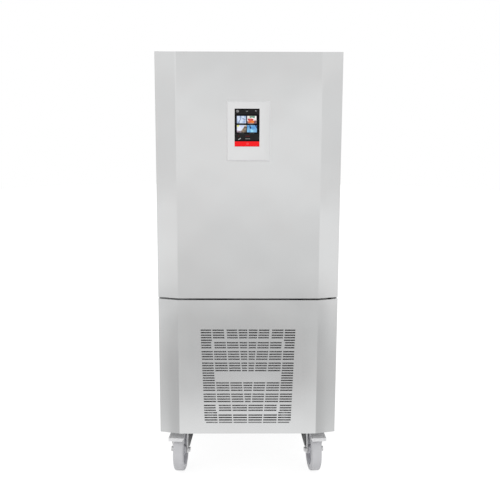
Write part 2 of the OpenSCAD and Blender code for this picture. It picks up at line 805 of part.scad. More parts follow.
module hinge_bracket_upper() {
    color("gray") difference() {
        union() {
            block([hinge_x - hinge_half, hinge_y, cab_top], [hinge_x + hinge_half, frame_y + 85, cab_top + hinge_t]);
            rod_z([hinge_x, hinge_y, cab_top], hinge_half, hinge_t);
            rod_z([hinge_x, hinge_y, cap_z + 0.1], bush_r - 1, cab_top - cap_z);
            rod_z([hinge_x, hinge_y, cap_z - bush_h + 3], hinge_pin_r, bush_h + 2);
        }
        for (y = upper_bracket_screws()) rod_z([hinge_x, y, cab_top - 1], 2.5, hinge_t + 2);
    }
}

// ---- door ----

grip_y0 = edge_y + 11;
grip_y1 = door_back_y - 8;
grip_z = [door_z + 40, cap_z - 40];
grip_t = 2;

module grip_room() {
    block([-hw - 1, grip_y0, grip_z[0]], [-hw + grip_depth + grip_t, grip_y1, grip_z[1]]);
}

module module_room(y0, y1) {
    block([screen_x - module_w / 2, y0, screen_z + screen_h / 2 - module_h / 2],
          [screen_x + module_w / 2, y1, screen_z + screen_h / 2 + module_h / 2]);
}

module bush_room() {
    rod_z([hinge_x, hinge_y, door_z - 1], bush_r, bush_h + 1);
    rod_z([hinge_x, hinge_y, cap_z - bush_h], bush_r, bush_h + 1);
}

module door_skin() {
    color("silver") difference() {
        union() {
            front_sheet(door_z, cap_z);
            intersection() {
                front_sheet(cap_z, height);
                block([-hw - 1, face_y - 1, cap_z], [hw + 1, edge_y + 1, height]);
            }
            for (z = [door_z, cap_z - sheet]) front_prism(sheet / 2, door_back_y, z, z + sheet);
        }
        grip_room();
        module_room(face_y - 1, face_y + 10);
        bush_room();
    }
}

module door_foam() {
    color("wheat") difference() {
        front_prism(sheet, door_back_y - 2, door_z + sheet, cap_z - sheet);
        grip_room();
        module_room(face_y - 1, face_y + module_d);
        bush_room();
    }
}

seal_x = [ch_x + 10, ch_x + 32];
seal_z0 = [ch_z0 - 32, ch_z0 - 10];
seal_z1 = [ch_z1 + 32, ch_z1 + 10];

module door_liner() {
    color("lightgray") {
        block([-hw + sheet, door_back_y - 2, door_z + sheet], [hw - sheet, door_back_y, cap_z - sheet]);
        tub(seal_x[0] - 20, door_back_y, door_back_y + 5, seal_z0[1] + 20, seal_z1[1] - 20, 20);
    }
}

module door_gasket() {
    y1 = frame_y - play;
    color("dimgray") {
        ring_xz(seal_x[1], seal_z0[0], seal_z1[0], seal_x[0], seal_z0[1], seal_z1[1], door_back_y, door_back_y + 3);
        ring_xz(seal_x[1] - 3, seal_z0[0] + 3, seal_z1[0] - 3, seal_x[0] + 3, seal_z0[1] - 3, seal_z1[1] + 3,
                door_back_y + 3, y1);
    }
}

module door_grip() {
    color("darkgray") difference() {
        block([-hw, grip_y0, grip_z[0]], [-hw + grip_depth + grip_t, grip_y1, grip_z[1]]);
        block([-hw - 1, grip_y0 + grip_t, grip_z[0] + grip_t], [-hw + grip_depth, grip_y1 - grip_t, grip_z[1] - grip_t]);
    }
}

module hinge_bushes() {
    color("ivory") difference() {
        bush_room_solid();
        rod_z([hinge_x, hinge_y, door_z - 1], hinge_pin_r + fit, bush_h - 1);
        rod_z([hinge_x, hinge_y, cap_z - bush_h + 2], hinge_pin_r + fit, bush_h + 1);
    }
}

module bush_room_solid() {
    rod_z([hinge_x, hinge_y, door_z], bush_r, bush_h);
    rod_z([hinge_x, hinge_y, cap_z - bush_h], bush_r, bush_h);
}

module display_bezel() {
    x0 = bezel_x - bezel_w / 2;
    x1 = bezel_x + bezel_w / 2;
    z1 = bezel_z + bezel_h;
    color("white") difference() {
        intersection() {
            translate([0, 0, bezel_z]) linear_extrude(bezel_h) polygon(
                [[x0, face_y], [x0 + slope_left, front_y], [x1 - slope_right, front_y], [x1, face_y]]);
            rotate([90, 0, 90]) translate([0, 0, x0 - 1]) linear_extrude(bezel_w + 2) polygon(
                [[face_y, bezel_z], [front_y, bezel_z + slope_low], [front_y, z1 - slope_top], [face_y, z1]]);
        }
        block([screen_x - screen_w / 2 - 0.2, front_y - 1, screen_z - 0.2],
              [screen_x + screen_w / 2 + 0.2, face_y + 1, screen_z + screen_h + 0.2]);
        module_room(glass_y + glass_t, face_y + 1);
    }
}

module display_glass() {
    color("black") block([screen_x - screen_w / 2, glass_y, screen_z],
        [screen_x + screen_w / 2, glass_y + glass_t, screen_z + screen_h]);
}

module display_module() {
    color("darkgreen") module_room(glass_y + glass_t, face_y + module_d);
}

// ---- casters ----

function caster_points() = [for (y = [front_caster_y, rear_caster_y], s = [-1, 1]) [s * caster_x, y, s]];
function caster_at(i) = caster_points()[i];

module plate_bolt_holes() {
    for (sx = [-1, 1], sy = [-1, 1]) rod_z([sx * bolt_at[0], sy * bolt_at[1], base_z - 20], bolt_r, 30);
}

module caster_plates() {
    color("gray") for (p = caster_points()) translate([p[0], p[1], 0]) {
        difference() {
            block([-plate_x / 2, -plate_y / 2, base_z - plate_t], [plate_x / 2, plate_y / 2, base_z]);
            plate_bolt_holes();
        }
        rod_z([0, 0, crown_top + play], crown_r - 12, base_z - plate_t - crown_top - play);
        rod_z([0, 0, crown_z - 3], king_r, base_z - plate_t - crown_z + 3);
        rod_z([0, 0, crown_z - play - 3], 13, 3);
    }
}

module caster_bolts() {
    color("silver") for (p = caster_points(), sx = [-1, 1], sy = [-1, 1])
        translate([p[0] + sx * bolt_at[0], p[1] + sy * bolt_at[1], 0]) {
            rod_z([0, 0, base_z - plate_t - 3], bolt_head_r, 3);
            rod_z([0, 0, base_z - plate_t], bolt_r, plate_t + floor_t);
            rod_z([0, 0, mc_z], bolt_head_r, 7);
        }
}

// Moves a part from a caster's own axes to its place and angle on the cabinet
module at_caster(i) {
    p = caster_at(i);
    translate([p[0], p[1], 0]) rotate([0, 0, p[2] * caster_toe]) children();
}

// One leg of a fork: a slanted plate, an edge folded out along its front and a tapered brace behind
module fork_leg() {
    r = wheel_d / 2;
    leg_mid = leg_x + leg_t / 2;
    brace_z = r + 10;
    brace_h = (crown_z + 2 - brace_z) / cos(brace_lean);
    low = [-caster_trail - 17, r + 4];
    high = [-caster_trail - 6, crown_z - 20];
    rear = 34;
    rotate([90, 0, 90]) {
        translate([0, 0, leg_x]) linear_extrude(leg_t) {
            polygon([[rear, crown_top], [rear, r + 50], [-caster_trail + 20, r - 8], low, high, [-rear, crown_top]]);
            translate([-caster_trail, r]) circle(r = 18); // round the axle
        }
        translate([0, 0, leg_x]) linear_extrude(leg_flange) polygon([low + [0, 14], high, high + [3, 0], low + [3, 14]]);
    }
    translate([0, brace_y, brace_z]) rotate([90 - brace_lean, 0, 0]) linear_extrude(brace_t) polygon(
        [[leg_mid, brace_h], [leg_mid, 0], [leg_mid + 10, 2], [brace_out, brace_h * 0.85], [brace_out, brace_h]]);
}

module fork(i) {
    r = wheel_d / 2;
    color("gray") at_caster(i) {
        difference() {
            union() {
                rod_z([0, 0, crown_z], crown_r, crown_top - crown_z);
                for (s = [0, 1]) mirror([s, 0, 0]) fork_leg();
                if (i < 2) for (s = [-1, 1])
                    block([s * 30 - 3, pedal_y - 7, pedal_z - 7], [s * 30 + 3, -20, crown_top]);
            }
            rod_z([0, 0, crown_z - 1], king_r + fit, 40);
            rod_x([-60, -caster_trail, r], axle_r, 120);
            if (i < 2) rod_x([-60, pedal_y, pedal_z], pedal_pin_r + fit, 120);
        }
        rod_x([-leg_x - leg_t, -caster_trail, r], axle_r, 2 * (leg_x + leg_t));
        for (s = [0, 1]) mirror([s, 0, 0]) rod_x([leg_x + leg_t, -caster_trail, r], nub_r, nub_l);
    }
}

module tread(i) {
    r = wheel_d / 2;
    rim = r - 20;
    w = wheel_w / 2;
    color("darkgray") at_caster(i) translate([0, -caster_trail, r]) rotate([0, 90, 0])
        rotate_extrude() {
            translate([rim, 1 - w]) square([r - tread_r - rim, 2 * w - 2]);
            translate([rim, 1 + tread_r - w]) square([r - rim, 2 * (w - 1 - tread_r)]);
            for (s = [-1, 1]) translate([r - tread_r, s * (w - 1 - tread_r)]) circle(r = tread_r);
        }
}

module core(i) {
    r = wheel_d / 2;
    rim = r - 20;
    w = wheel_w / 2;
    color("lightgray") at_caster(i) translate([0, -caster_trail, r]) rotate([0, 90, 0])
        rotate_extrude() polygon([[axle_r + fit, -w - 2], [20, -w - 2], [24, -7], [rim - 10, -7],
            [rim - 8, -w + 2], [rim, -w + 2], [rim, w - 2], [rim - 8, w - 2],
            [rim - 10, 7], [24, 7], [20, w + 2], [axle_r + fit, w + 2]]);
}

// The brake pedal: a pin, an arm and a plate that widens to a lip, set towards the outside
module pedal(i) {
    side = caster_at(i)[2];
    lip = [[-70, -18], [-75, -32], [-72, -32], [-67, -22]];
    arm = [[-2, -3], [3, 3]];
    color("silver") at_caster(i) {
        rod_x([-36, pedal_y, pedal_z], pedal_pin_r, 72);
        translate([0, pedal_y, pedal_z]) mirror([side < 0 ? 1 : 0, 0, 0]) {
            rotate([90, 0, 90]) translate([0, 0, -20]) linear_extrude(42) polygon(concat(arm, lip));
            difference() {
                rotate([90, 0, 90]) translate([0, 0, pedal_in]) linear_extrude(pedal_out - pedal_in)
                    polygon(concat([[-16, -6], [-16, -2]], lip));
                for (e = [[pedal_in, -1], [pedal_out, 1]]) translate([0, 0, -50]) linear_extrude(100)
                    polygon([[e[0] + e[1], -74], [e[0] + e[1], 0], [e[0] - 6 * e[1], 0], [e[0] - 6 * e[1], -16]]);
                translate([0, -60, 0]) rotate([90, 0, 0]) linear_extrude(20)
                    polygon([[pedal_in - 2, -20], [pedal_in - 2, -34], [pedal_in + 9, -34]]);
            }
        }
    }
}

// ---- parts ----

side_panel(-1);  // side_panel_left
side_panel(1);  // side_panel_right
top_panel();
back_panel();
base_chassis();
cabinet_foam();
chamber_liner();
front_frame();
lower_front_panel();
rear_vent_cover();
panel_screws();
condenser_coil();
condenser_shroud();
condenser_fan_motor();
compressor();
compressor_feet();
liquid_receiver();
filter_drier();
refrigerant_pipes();
control_box();
condensate_tray();
drain_pipe();
power_gland();
evaporator_coil();
fan_panel();
evaporator_fan_motors();
fan_guards();
tray_rack(-1);  // tray_rack_left
tray_rack(1);  // tray_rack_right
probe_gland();
hinge_bracket_upper();
hinge_bracket_lower();
caster_plates();
caster_bolts();
door_skin();
door_foam();
door_liner();
door_gasket();
door_grip();
hinge_bushes();
display_bezel();
display_glass();
display_module();
condenser_fan();
evaporator_fan(fan_z[0]);  // evaporator_fan_lower
evaporator_fan(fan_z[1]);  // evaporator_fan_upper
fork(0);  // fork_front_left
fork(1);  // fork_front_right
fork(2);  // fork_rear_left
fork(3);  // fork_rear_right
tread(0);  // tread_front_left
tread(1);  // tread_front_right
tread(2);  // tread_rear_left
tread(3);  // tread_rear_right
core(0);  // core_front_left
core(1);  // core_front_right
core(2);  // core_rear_left
core(3);  // core_rear_right
pedal(0);  // pedal_left
pedal(1);  // pedal_right
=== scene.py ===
"""Looks of the upright blast chiller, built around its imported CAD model. Metres, +Z up, front towards -Y."""
import json
import math

import bmesh
import bpy
from mathutils import Matrix, Vector


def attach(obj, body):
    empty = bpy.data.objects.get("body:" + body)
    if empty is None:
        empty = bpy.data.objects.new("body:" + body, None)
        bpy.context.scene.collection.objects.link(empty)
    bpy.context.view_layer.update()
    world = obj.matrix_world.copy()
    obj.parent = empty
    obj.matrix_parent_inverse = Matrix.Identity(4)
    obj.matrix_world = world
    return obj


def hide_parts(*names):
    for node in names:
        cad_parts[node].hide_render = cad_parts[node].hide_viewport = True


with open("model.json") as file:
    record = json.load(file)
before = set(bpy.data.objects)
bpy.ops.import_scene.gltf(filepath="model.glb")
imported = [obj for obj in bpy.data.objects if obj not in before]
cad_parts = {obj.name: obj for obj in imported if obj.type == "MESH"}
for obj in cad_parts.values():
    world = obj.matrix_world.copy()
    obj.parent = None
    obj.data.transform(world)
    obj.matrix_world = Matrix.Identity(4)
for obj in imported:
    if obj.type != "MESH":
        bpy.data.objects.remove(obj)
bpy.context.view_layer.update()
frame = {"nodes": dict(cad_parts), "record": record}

MM = 0.001
NODES = frame["nodes"]
SLOT_OF = {row["node"]: row["material_slot"] for row in frame["record"]["subparts"]}
BODY_OF = {name: body for body, names in frame["record"]["behaviour"]["bodies"].items() for name in names}
WHEEL_NAMES = ("front_left", "front_right", "rear_left", "rear_right")

# Places in millimetres, as the CAD model has them; the screen's are its left, bottom, right and top
FACE_Y = -425.0
SCREEN = (-60.5, 1552.0, 45.5, 1713.0)
SCREEN_Y = -433.5
BACK_Y = 432.0
FAN_Z = (1197.1, 1607.4)
BAFFLE_Y = 175.5


# ---- shader maths -------------------------------------------------------------------------------

class Wire:
    """A shader socket that plain arithmetic works on."""

    def __init__(self, finish, socket):
        self.finish = finish
        self.socket = socket

    def maths(self, operation, *values):
        return self.finish.node("Math", {"operation": operation}, dict(enumerate(values)))

    def __add__(self, other):
        return self.maths("ADD", self, other)

    def __radd__(self, other):
        return self.maths("ADD", other, self)

    def __sub__(self, other):
        return self.maths("SUBTRACT", self, other)

    def __rsub__(self, other):
        return self.maths("SUBTRACT", other, self)

    def __mul__(self, other):
        return self.maths("MULTIPLY", self, other)

    def __rmul__(self, other):
        return self.maths("MULTIPLY", other, self)

    def __truediv__(self, other):
        return self.maths("DIVIDE", self, other)

    def __rtruediv__(self, other):
        return self.maths("DIVIDE", other, self)

    def __abs__(self):
        return self.maths("ABSOLUTE", self)


class Finish:
    """The nodes of one material or of the world."""

    def __init__(self, owner, shader="Principled BSDF", **constants):
        self.owner = bpy.data.materials.new(owner) if isinstance(owner, str) else owner
        self.owner.use_nodes = True
        self.tree = self.owner.node_tree
        self.shader = self.tree.nodes[shader]
        self.set(**constants)

    def feed(self, socket, value):
        if isinstance(value, Wire):
            self.tree.links.new(value.socket, socket)
        elif isinstance(value, (tuple, list)) and socket.type == "RGBA":
            socket.default_value = (*value[:3], 1.0)
        else:
            socket.default_value = value

    def node(self, kind, settings=None, sockets=None, out=0):
        made = self.tree.nodes.new("ShaderNode" + kind)
        for name, value in (settings or {}).items():
            if name == "stops":
                self.put_stops(made.color_ramp.elements, value)
            else:
                setattr(made, name, value)
        for name, value in (sockets or {}).items():
            self.feed(made.inputs[name], value)
        return Wire(self, made.outputs[out])

    def put_stops(self, ramp, stops):
        while len(ramp) < len(stops):
            ramp.new(0.5)
        for element, (place, colour) in zip(ramp, stops):
            element.position = place
            element.color = (*colour, 1.0)

    def set(self, **inputs):
        for name, value in inputs.items():
            self.feed(self.shader.inputs[name.replace("_", " ")], value)
        return self

    def place(self, scale=(1, 1, 1), offset=(0, 0, 0)):
        """Object coordinates, scaled and moved."""
        spot = self.node("TexCoord", out="Object")
        return self.node("Mapping", None, {"Vector": spot, "Scale": scale, "Location": offset})

    def axes(self, vector):
        split = self.node("SeparateXYZ", None, {0: vector}).socket.node
        return [Wire(self, output) for output in split.outputs]

    def rays(self, *kinds):
        """For each kind of ray, such as Camera, 1 where the surface is met by one and 0 elsewhere."""
        path = self.node("LightPath").socket.node
        return [Wire(self, path.outputs["Is " + kind + " Ray"]) for kind in kinds]

    def noise(self, place, scale, detail=2.0, rough=0.5):
        return self.node("TexNoise", None, {"Vector": place, "Scale": scale, "Detail": detail,
                                            "Roughness": rough})

    def ramp(self, value, *stops):
        return self.node("ValToRGB", {"stops": stops}, {"Fac": value})

    def mix(self, share, first, second):
        return self.node("Mix", {"data_type": "RGBA"}, {0: share, 6: first, 7: second}, out=2)

    def steps(self, value, low, high):
        """0 below low, 1 above high, smooth between."""
        return self.node("MapRange", {"interpolation_type": "SMOOTHSTEP"},
                         {"Value": value, "From Min": low, "From Max": high})

    def scaled(self, colour, amount):
        return self.node("VectorMath", {"operation": "SCALE"}, {0: colour, "Scale": amount})

    def bump(self, height, strength, distance):
        return self.node("Bump", None, {"Height": height, "Strength": strength, "Distance": distance})


def darker(colour, share):
    return tuple(c * share for c in colour)


def light(level):
    """The light of an 8-bit level."""
    share = level / 255
    return share / 12.92 if share <= 0.04045 else ((share + 0.055) / 1.055) ** 2.4


def seen(colour):
    """An 8-bit screen colour as light."""
    return tuple(light(level) for level in colour)


# ---- finishes -----------------------------------------------------------------------------------

# In metres: how deep the scratches of satin metal are, where the slanted strips of the front begin,
# half their width, and the depth over which painted shade comes in on the forks' plate
SCRATCH_DEPTH = 0.000012
STRIP_FROM = 0.311
STRIP_HALF = 0.0445
PAINTED_SHADE_FROM = (-0.294, -0.284)


def brushed(name, tone, rough, stretch, cloud=0.03, grain=0.05, wave=0.0, crown=0.0):
    """Satin sheet metal: fine scratches, long where stretch is small, and a sheet that isn't quite flat.

    The crown bends the slanted strips of the front outwards by a little, as a folded sheet has it.
    """
    f = Finish(name, Metallic=1.0)
    scratches = f.noise(f.place(scale=stretch), 1.0, 3.0, 0.6)
    clouds = f.noise(f.place(), 3.2, 4.0, 0.55)
    hue = f.mix(f.steps(clouds, 0.35, 0.65), tone, (tone[0] * 0.994, tone[1] * 1.002, tone[2] * 1.004))
    height = scratches * SCRATCH_DEPTH
    if wave:
        height = height + f.noise(f.place(scale=(1.3, 1.3, 1.0)), 2.6, 1.5, 0.45) * wave
    if crown:
        across, _, _ = f.axes(f.place())
        off = across.maths("MAXIMUM", abs(across) - STRIP_FROM, 0.0) - STRIP_HALF
        height = height - off * off * crown
    f.set(Base_Color=f.scaled(hue, (scratches - 0.5) * grain + (clouds - 0.5) * cloud + 1.0),
          Roughness=(scratches - 0.5) * 0.10 + rough, Normal=f.bump(height, 1.0, 1.0))
    return f.owner


def plastic(name, colour, rough, strength=0.08, spread=0.05, gloss=0.5):
    """Moulded plastic with a fine eroded texture."""
    f = Finish(name, Metallic=0.0, Specular_IOR_Level=gloss)
    fine = f.noise(f.place(), 900.0)
    broad = f.noise(f.place(), 6.0)
    f.set(Base_Color=f.mix(broad, colour, darker(colour, 1 - spread)),
          Roughness=(fine - 0.5) * 0.1 + rough, Normal=f.bump(fine, strength, 0.0002))
    return f.owner


def satin_fin(name, tone, rough):
    """Thin dull aluminium that scatters most of its light."""
    f = Finish(name, Metallic=0.08)
    film = f.noise(f.place(scale=(60, 60, 400)), 1.0, 3.0, 0.6)
    dust = f.noise(f.place(), 14.0, 3.0, 0.6)
    f.set(Base_Color=f.mix(dust, tone, darker(tone, 0.88)), Roughness=film * 0.2 + rough)
    return f.owner


def plated(name, tone, rough, metal=1.0):
    """Zinc plate: bright metal with a faint patchy bloom, more like paint where metal is low."""
    f = Finish(name, Metallic=metal)
    bloom = f.noise(f.place(), 45.0, 4.0, 0.6)
    specks = f.noise(f.place(), 400.0)
    f.set(Base_Color=f.mix(bloom, tone, (tone[0] * 0.86, tone[1] * 0.865, tone[2] * 0.88)),
          Roughness=bloom * 0.18 + rough, Normal=f.bump(specks, 0.08, 0.0003))
    return f.owner


def fork_plate_with_painted_shade(name, tone, rough):
    """Zinc plate with painted shade: dark banded colour and less metal from the braces of the front forks
    backwards, the rear forks included.
    """
    f = Finish(name, Metallic=1.0)
    bloom = f.noise(f.place(), 45.0, 4.0, 0.6)
    _, back, _ = f.axes(f.place())
    painted_shade_bands = f.noise(f.place(scale=(260, 8, 8)), 1.0)
    # Painted shade: a darker, banded colour and less metal stand in for the shade under the cabinet
    painted_shade_colour = f.mix(f.steps(painted_shade_bands, 0.4, 0.6), darker(tone, 0.17), darker(tone, 0.46))
    painted_shade_mask = f.steps(back, *PAINTED_SHADE_FROM)
    f.set(Base_Color=f.mix(painted_shade_mask, f.mix(bloom, tone, darker(tone, 0.87)), painted_shade_colour),
          Metallic=1.0 - painted_shade_mask * 0.6, Roughness=bloom * 0.18 + rough)
    return f.owner


def spangled(name, tone):
    """Galvanised sheet with its crystal pattern."""
    f = Finish(name, Metallic=1.0)
    cells = f.node("TexVoronoi", {"feature": "F1"}, {"Vector": f.place(), "Scale": 70.0}, out="Color")
    level = f.node("SeparateColor", None, {"Color": cells})
    f.set(Base_Color=f.mix(level, darker(tone, 0.86), tone), Roughness=level * 0.16 + 0.38)
    return f.owner


def painted(name, colour, rough):
    """Enamel with a light orange-peel surface and a little dust."""
    f = Finish(name, Metallic=0.0)
    peel = f.noise(f.place(), 260.0)
    dust = f.noise(f.place(), 9.0, 4.0, 0.6)
    f.set(Base_Color=f.mix(dust, colour, tuple(min(1.0, c * 1.2 + 0.012) for c in colour)),
          Roughness=dust * 0.15 + rough, Normal=f.bump(peel, 0.15, 0.0004))
    return f.owner


def rubber(name, colour, rough=0.6, dust=0.15):
    f = Finish(name, Metallic=0.0)
    film = f.noise(f.place(), 30.0, 4.0, 0.65)
    fine = f.noise(f.place(), 700.0)
    f.set(Base_Color=f.mix(film, colour, darker(colour, 1 - dust)),
          Roughness=film * 0.15 + rough, Normal=f.bump(fine, 0.12, 0.0003))
    return f.owner


def foamed(name, colour):
    f = Finish(name, Metallic=0.0, Roughness=0.9)
    cells = f.node("TexVoronoi", None, {"Vector": f.place(), "Scale": 500.0}, out="Distance")
    f.set(Base_Color=f.mix(cells, colour, darker(colour, 0.8)), Normal=f.bump(cells, 0.3, 0.0005))
    return f.owner


def tarnished(name, colour):
    """Drawn copper tube with darker tarnish."""
    f = Finish(name, Metallic=1.0)
    film = f.noise(f.place(), 22.0, 4.0, 0.6)
    f.set(Base_Color=f.mix(film, colour, darker(colour, 0.55)), Roughness=film * 0.25 + 0.22)
    return f.owner


def glowing(name, first, second, scale, stretch=(1, 1, 1), detail=3.0):
    """A lit picture on the display: two 8-bit colours in soft patches."""
    f = Finish(name, Roughness=0.15, Metallic=0.0, Emission_Strength=1.0, Specular_IOR_Level=0.05)
    patches = f.steps(f.noise(f.place(scale=stretch), scale, detail), 0.38, 0.62)
    f.set(Base_Color=(0.01, 0.01, 0.01), Emission_Color=f.mix(patches, seen(first), seen(second)))
    return f.owner


STEEL_TONE = (0.745, 0.746, 0.747)
ZINC_TONE = (0.80, 0.80, 0.805)
STAINLESS = {"tone": STEEL_TONE, "rough": 0.18, "stretch": (700, 700, 9), "cloud": 0.09, "wave": 0.008}

FINISHES = {
    "stainless": brushed("brushed_stainless", **STAINLESS),
    "front_stainless": brushed("brushed_stainless_front", crown=0.29, **STAINLESS),
    "galvanised": spangled("galvanised_sheet", (0.56, 0.565, 0.572)),
    "zinc": plated("zinc_plate", ZINC_TONE, 0.34),
    "pedal_zinc": plated("pedal_zinc", (0.92, 0.92, 0.925), 0.42, metal=0.05),
    # The forks' finish carries painted shade from the braces backwards
    "fork_zinc": fork_plate_with_painted_shade("fork_zinc", ZINC_TONE, 0.34),
    "foam": foamed("rigid_foam", (0.80, 0.70, 0.42)),
    "seal_rubber": rubber("door_seal_rubber", (0.16, 0.16, 0.17)),
    "grip_metal": brushed("grip_aluminium", (0.62, 0.62, 0.63), 0.34, (500, 500, 8)),
    "bush_plastic": plastic("bush_nylon", (0.80, 0.77, 0.66), 0.45),
    "bezel_plastic": plastic("bezel_plastic", (0.75, 0.752, 0.755), 0.32, strength=0.03, spread=0.02),
    "screen_glass": plastic("screen_glass", (0.004, 0.004, 0.0045), 0.10, strength=0.0, gloss=0.09),
    "board_case": plastic("board_case", (0.05, 0.05, 0.055), 0.5),
    "black_plastic": plastic("black_plastic", (0.022, 0.022, 0.025), 0.42),
    "white_plastic": plastic("white_plastic", (0.78, 0.78, 0.76), 0.38),
    "fin_aluminium": satin_fin("fin_aluminium", (0.90, 0.90, 0.91), 0.45),
    "black_steel": painted("black_enamel", (0.014, 0.014, 0.015), 0.28),
    "motor_grey": painted("motor_enamel", (0.05, 0.055, 0.06), 0.38),
    "guard_wire": plated("guard_wire", (0.74, 0.74, 0.75), 0.22),
    "copper": tarnished("copper_tube", (0.80, 0.42, 0.26)),
    "mount_rubber": rubber("mount_rubber", (0.02, 0.02, 0.02)),
    "box_grey": painted("box_enamel", (0.42, 0.43, 0.44), 0.42),
    "wheel_tread": rubber("wheel_tread", (0.61, 0.61, 0.63), 0.50, dust=0.06),
    "wheel_core": plastic("wheel_core", (0.60, 0.60, 0.63), 0.4),
}


# ---- stage --------------------------------------------------------------------------------------

# The camera as it was fitted to the photograph, in pixels, metres and degrees
PHOTO_PX = 500
FOCAL_PX = 982.5
CAMERA_PLACE = (-0.047, -4.634, 2.035)
PITCH = 12.57
YAW = 0.74
ROLL = 0.24

# The floor disc, and the line under the cabinet's front that its brightness is measured from: half the
# line's length, and how far in front of the middle it lies
FLOOR_R = 8.7
FLOOR_SIDES = 64
FOOT_HALF = 0.33
FOOT_DEPTH = 0.41


def new_object(name, data):
    made = bpy.data.objects.new(name, data)
    bpy.context.scene.collection.objects.link(made)
    return made


def add_camera():
    data = bpy.data.cameras.new("camera")
    data.sensor_width = 36.0
    data.lens = FOCAL_PX / PHOTO_PX * data.sensor_width
    camera = new_object("camera", data)
    turn = (Matrix.Rotation(math.radians(-YAW), 4, "Z") @ Matrix.Rotation(math.radians(90 - PITCH), 4, "X")
            @ Matrix.Rotation(math.radians(ROLL), 4, "Z"))
    camera.matrix_world = Matrix.Translation(CAMERA_PLACE) @ turn
    bpy.context.scene.camera = camera


def lit(level):
    """The studio brightness that satin steel sends back as this 8-bit level."""
    return (light(level) / STEEL_TONE[0],) * 3


def levels(f, value, low, high, *pairs):
    """A ramp over low..high whose stops are given as places and 8-bit levels."""
    stops = [((at - low) / (high - low), lit(level)) for at, level in pairs]
    return f.ramp((value - low) / (high - low), *stops)


def add_world():
    """Studio walls as metal mirrors them, by height and by how far aside; plain white to the camera."""
    world = bpy.data.worlds.new("studio")
    bpy.context.scene.world = world
    f = Finish(world, "Background", Strength=1.0)
    across, _, up = f.axes(f.node("TexCoord", out="Generated"))
    ahead = levels(f, up, -0.2, 0.3, (-0.16, 214), (-0.125, 226), (-0.085, 226), (-0.05, 201),
                   (0.0, 203), (0.3, 210))
    aside = levels(f, up, -0.2, 0.3, (-0.16, 203), (-0.06, 205), (-0.035, 218), (0.3, 220))
    walls = f.mix(f.steps(abs(across), 0.2, 0.4), ahead, aside)
    strip = f.steps(abs(across), 0.16, 0.25) * (1.0 - f.steps(abs(across), 0.30, 0.40))
    walls = f.mix(strip * f.steps(up, -0.09, -0.04), walls, lit(236))
    far = levels(f, up, -0.2, 0.6, (-0.16, 176), (0.0, 172), (0.2, 188), (0.6, 206))
    walls = f.mix(f.steps(abs(across), 0.72, 0.84), walls, far)
    camera, diffuse = f.rays("Camera", "Diffuse")
    f.set(Color=f.mix(camera, f.mix(diffuse, walls, (0.95, 0.95, 0.95)), (1, 1, 1)))


def add_floor():
    """A pale disc whose brightness, as metal mirrors it, changes with distance and direction."""
    mesh = bpy.data.meshes.new("floor")
    angles = [2 * math.pi * k / FLOOR_SIDES for k in range(FLOOR_SIDES)]
    rim = [(FLOOR_R * math.cos(a), FLOOR_R * math.sin(a), 0) for a in angles]
    mesh.from_pydata(rim, [], [tuple(range(FLOOR_SIDES))])
    floor = new_object("floor", mesh)
    f = Finish("floor_paper", Roughness=0.9, Specular_IOR_Level=0.1, Emission_Strength=1.0)
    x, y, _ = f.axes(f.place(offset=(0, FOOT_DEPTH, 0)))
    side = x.maths("MAXIMUM", abs(x) - FOOT_HALF, 0.0)
    reach = x.maths("SQRT", side * side + y * y)
    turn = side / (reach + 0.01)

    def rings(*pairs):
        return levels(f, reach, 0.0, 9.0, *pairs)

    ahead = rings((0.45, 220), (0.75, 214), (1.3, 188), (2.0, 173), (2.6, 179),
                  (3.0, 188), (3.6, 198), (4.7, 201), (7.1, 206), (8.7, 209))
    beside = rings((0.45, 220), (0.75, 216), (1.3, 202), (2.0, 192), (2.6, 192),
                   (3.0, 193), (3.6, 199), (4.7, 202), (7.1, 206), (8.7, 209))
    aside = rings((0.5, 180), (0.8, 176), (1.3, 168), (2.0, 170), (2.6, 180),
                  (3.0, 192), (3.6, 207), (4.6, 222), (7.0, 221), (8.7, 216))
    outer = rings((0.5, 205), (0.8, 198), (1.3, 190), (2.0, 195), (2.6, 204),
                  (3.0, 210), (3.6, 216), (4.6, 222), (7.0, 218), (8.7, 214))
    far = rings((0.5, 178), (1.3, 150), (2.6, 160), (4.6, 172), (8.7, 176))
    middle = f.mix(f.steps(turn, 0.0, 0.12), ahead, beside)
    outer = f.mix(f.steps(turn, 0.76, 0.86), outer, far)
    mirrored = f.mix(f.steps(turn, 0.2, 0.4), middle, f.mix(f.steps(turn, 0.55, 0.66), aside, outer))
    camera, shiny, through = f.rays("Camera", "Glossy", "Transmission")
    glossy = shiny + through
    f.set(Base_Color=f.mix(camera + glossy, (0.92, 0.92, 0.92), f.mix(glossy, (0.24, 0.24, 0.24), (0, 0, 0))),
          Emission_Color=f.mix(glossy, f.mix(camera, (0, 0, 0), (0.87, 0.87, 0.87)), mirrored))
    mesh.materials.append(f.owner)


def add_lamp(name, place, aim, size, watts):
    data = bpy.data.lights.new(name, "AREA")
    data.shape = "RECTANGLE"
    data.size, data.size_y = size
    data.energy = watts
    lamp = new_object(name, data)
    turn = (Vector(aim) - Vector(place)).to_track_quat("-Z", "Y").to_matrix().to_4x4()
    lamp.matrix_world = Matrix.Translation(place) @ turn


# ---- making pieces ------------------------------------------------------------------------------

# Degrees and metres: the least turn of an edge that gets the corner radius, and the least turn and
# length of one that is a fold
CORNER_ANGLE = 40
FOLD_ANGLE = 8
FOLD_LENGTH = 0.3


def new_piece(name, mesh, body, slot, finish=None):
    """A piece that moves with a body, in the finish of its slot unless another is given."""
    piece = new_object(name, mesh)
    mesh.materials.clear()
    mesh.materials.append(finish or FINISHES[slot])
    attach(piece, body)
    return piece


def stand_in(piece, *nodes):
    """The piece is shown in place of these CAD nodes."""
    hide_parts(*nodes)
    return piece


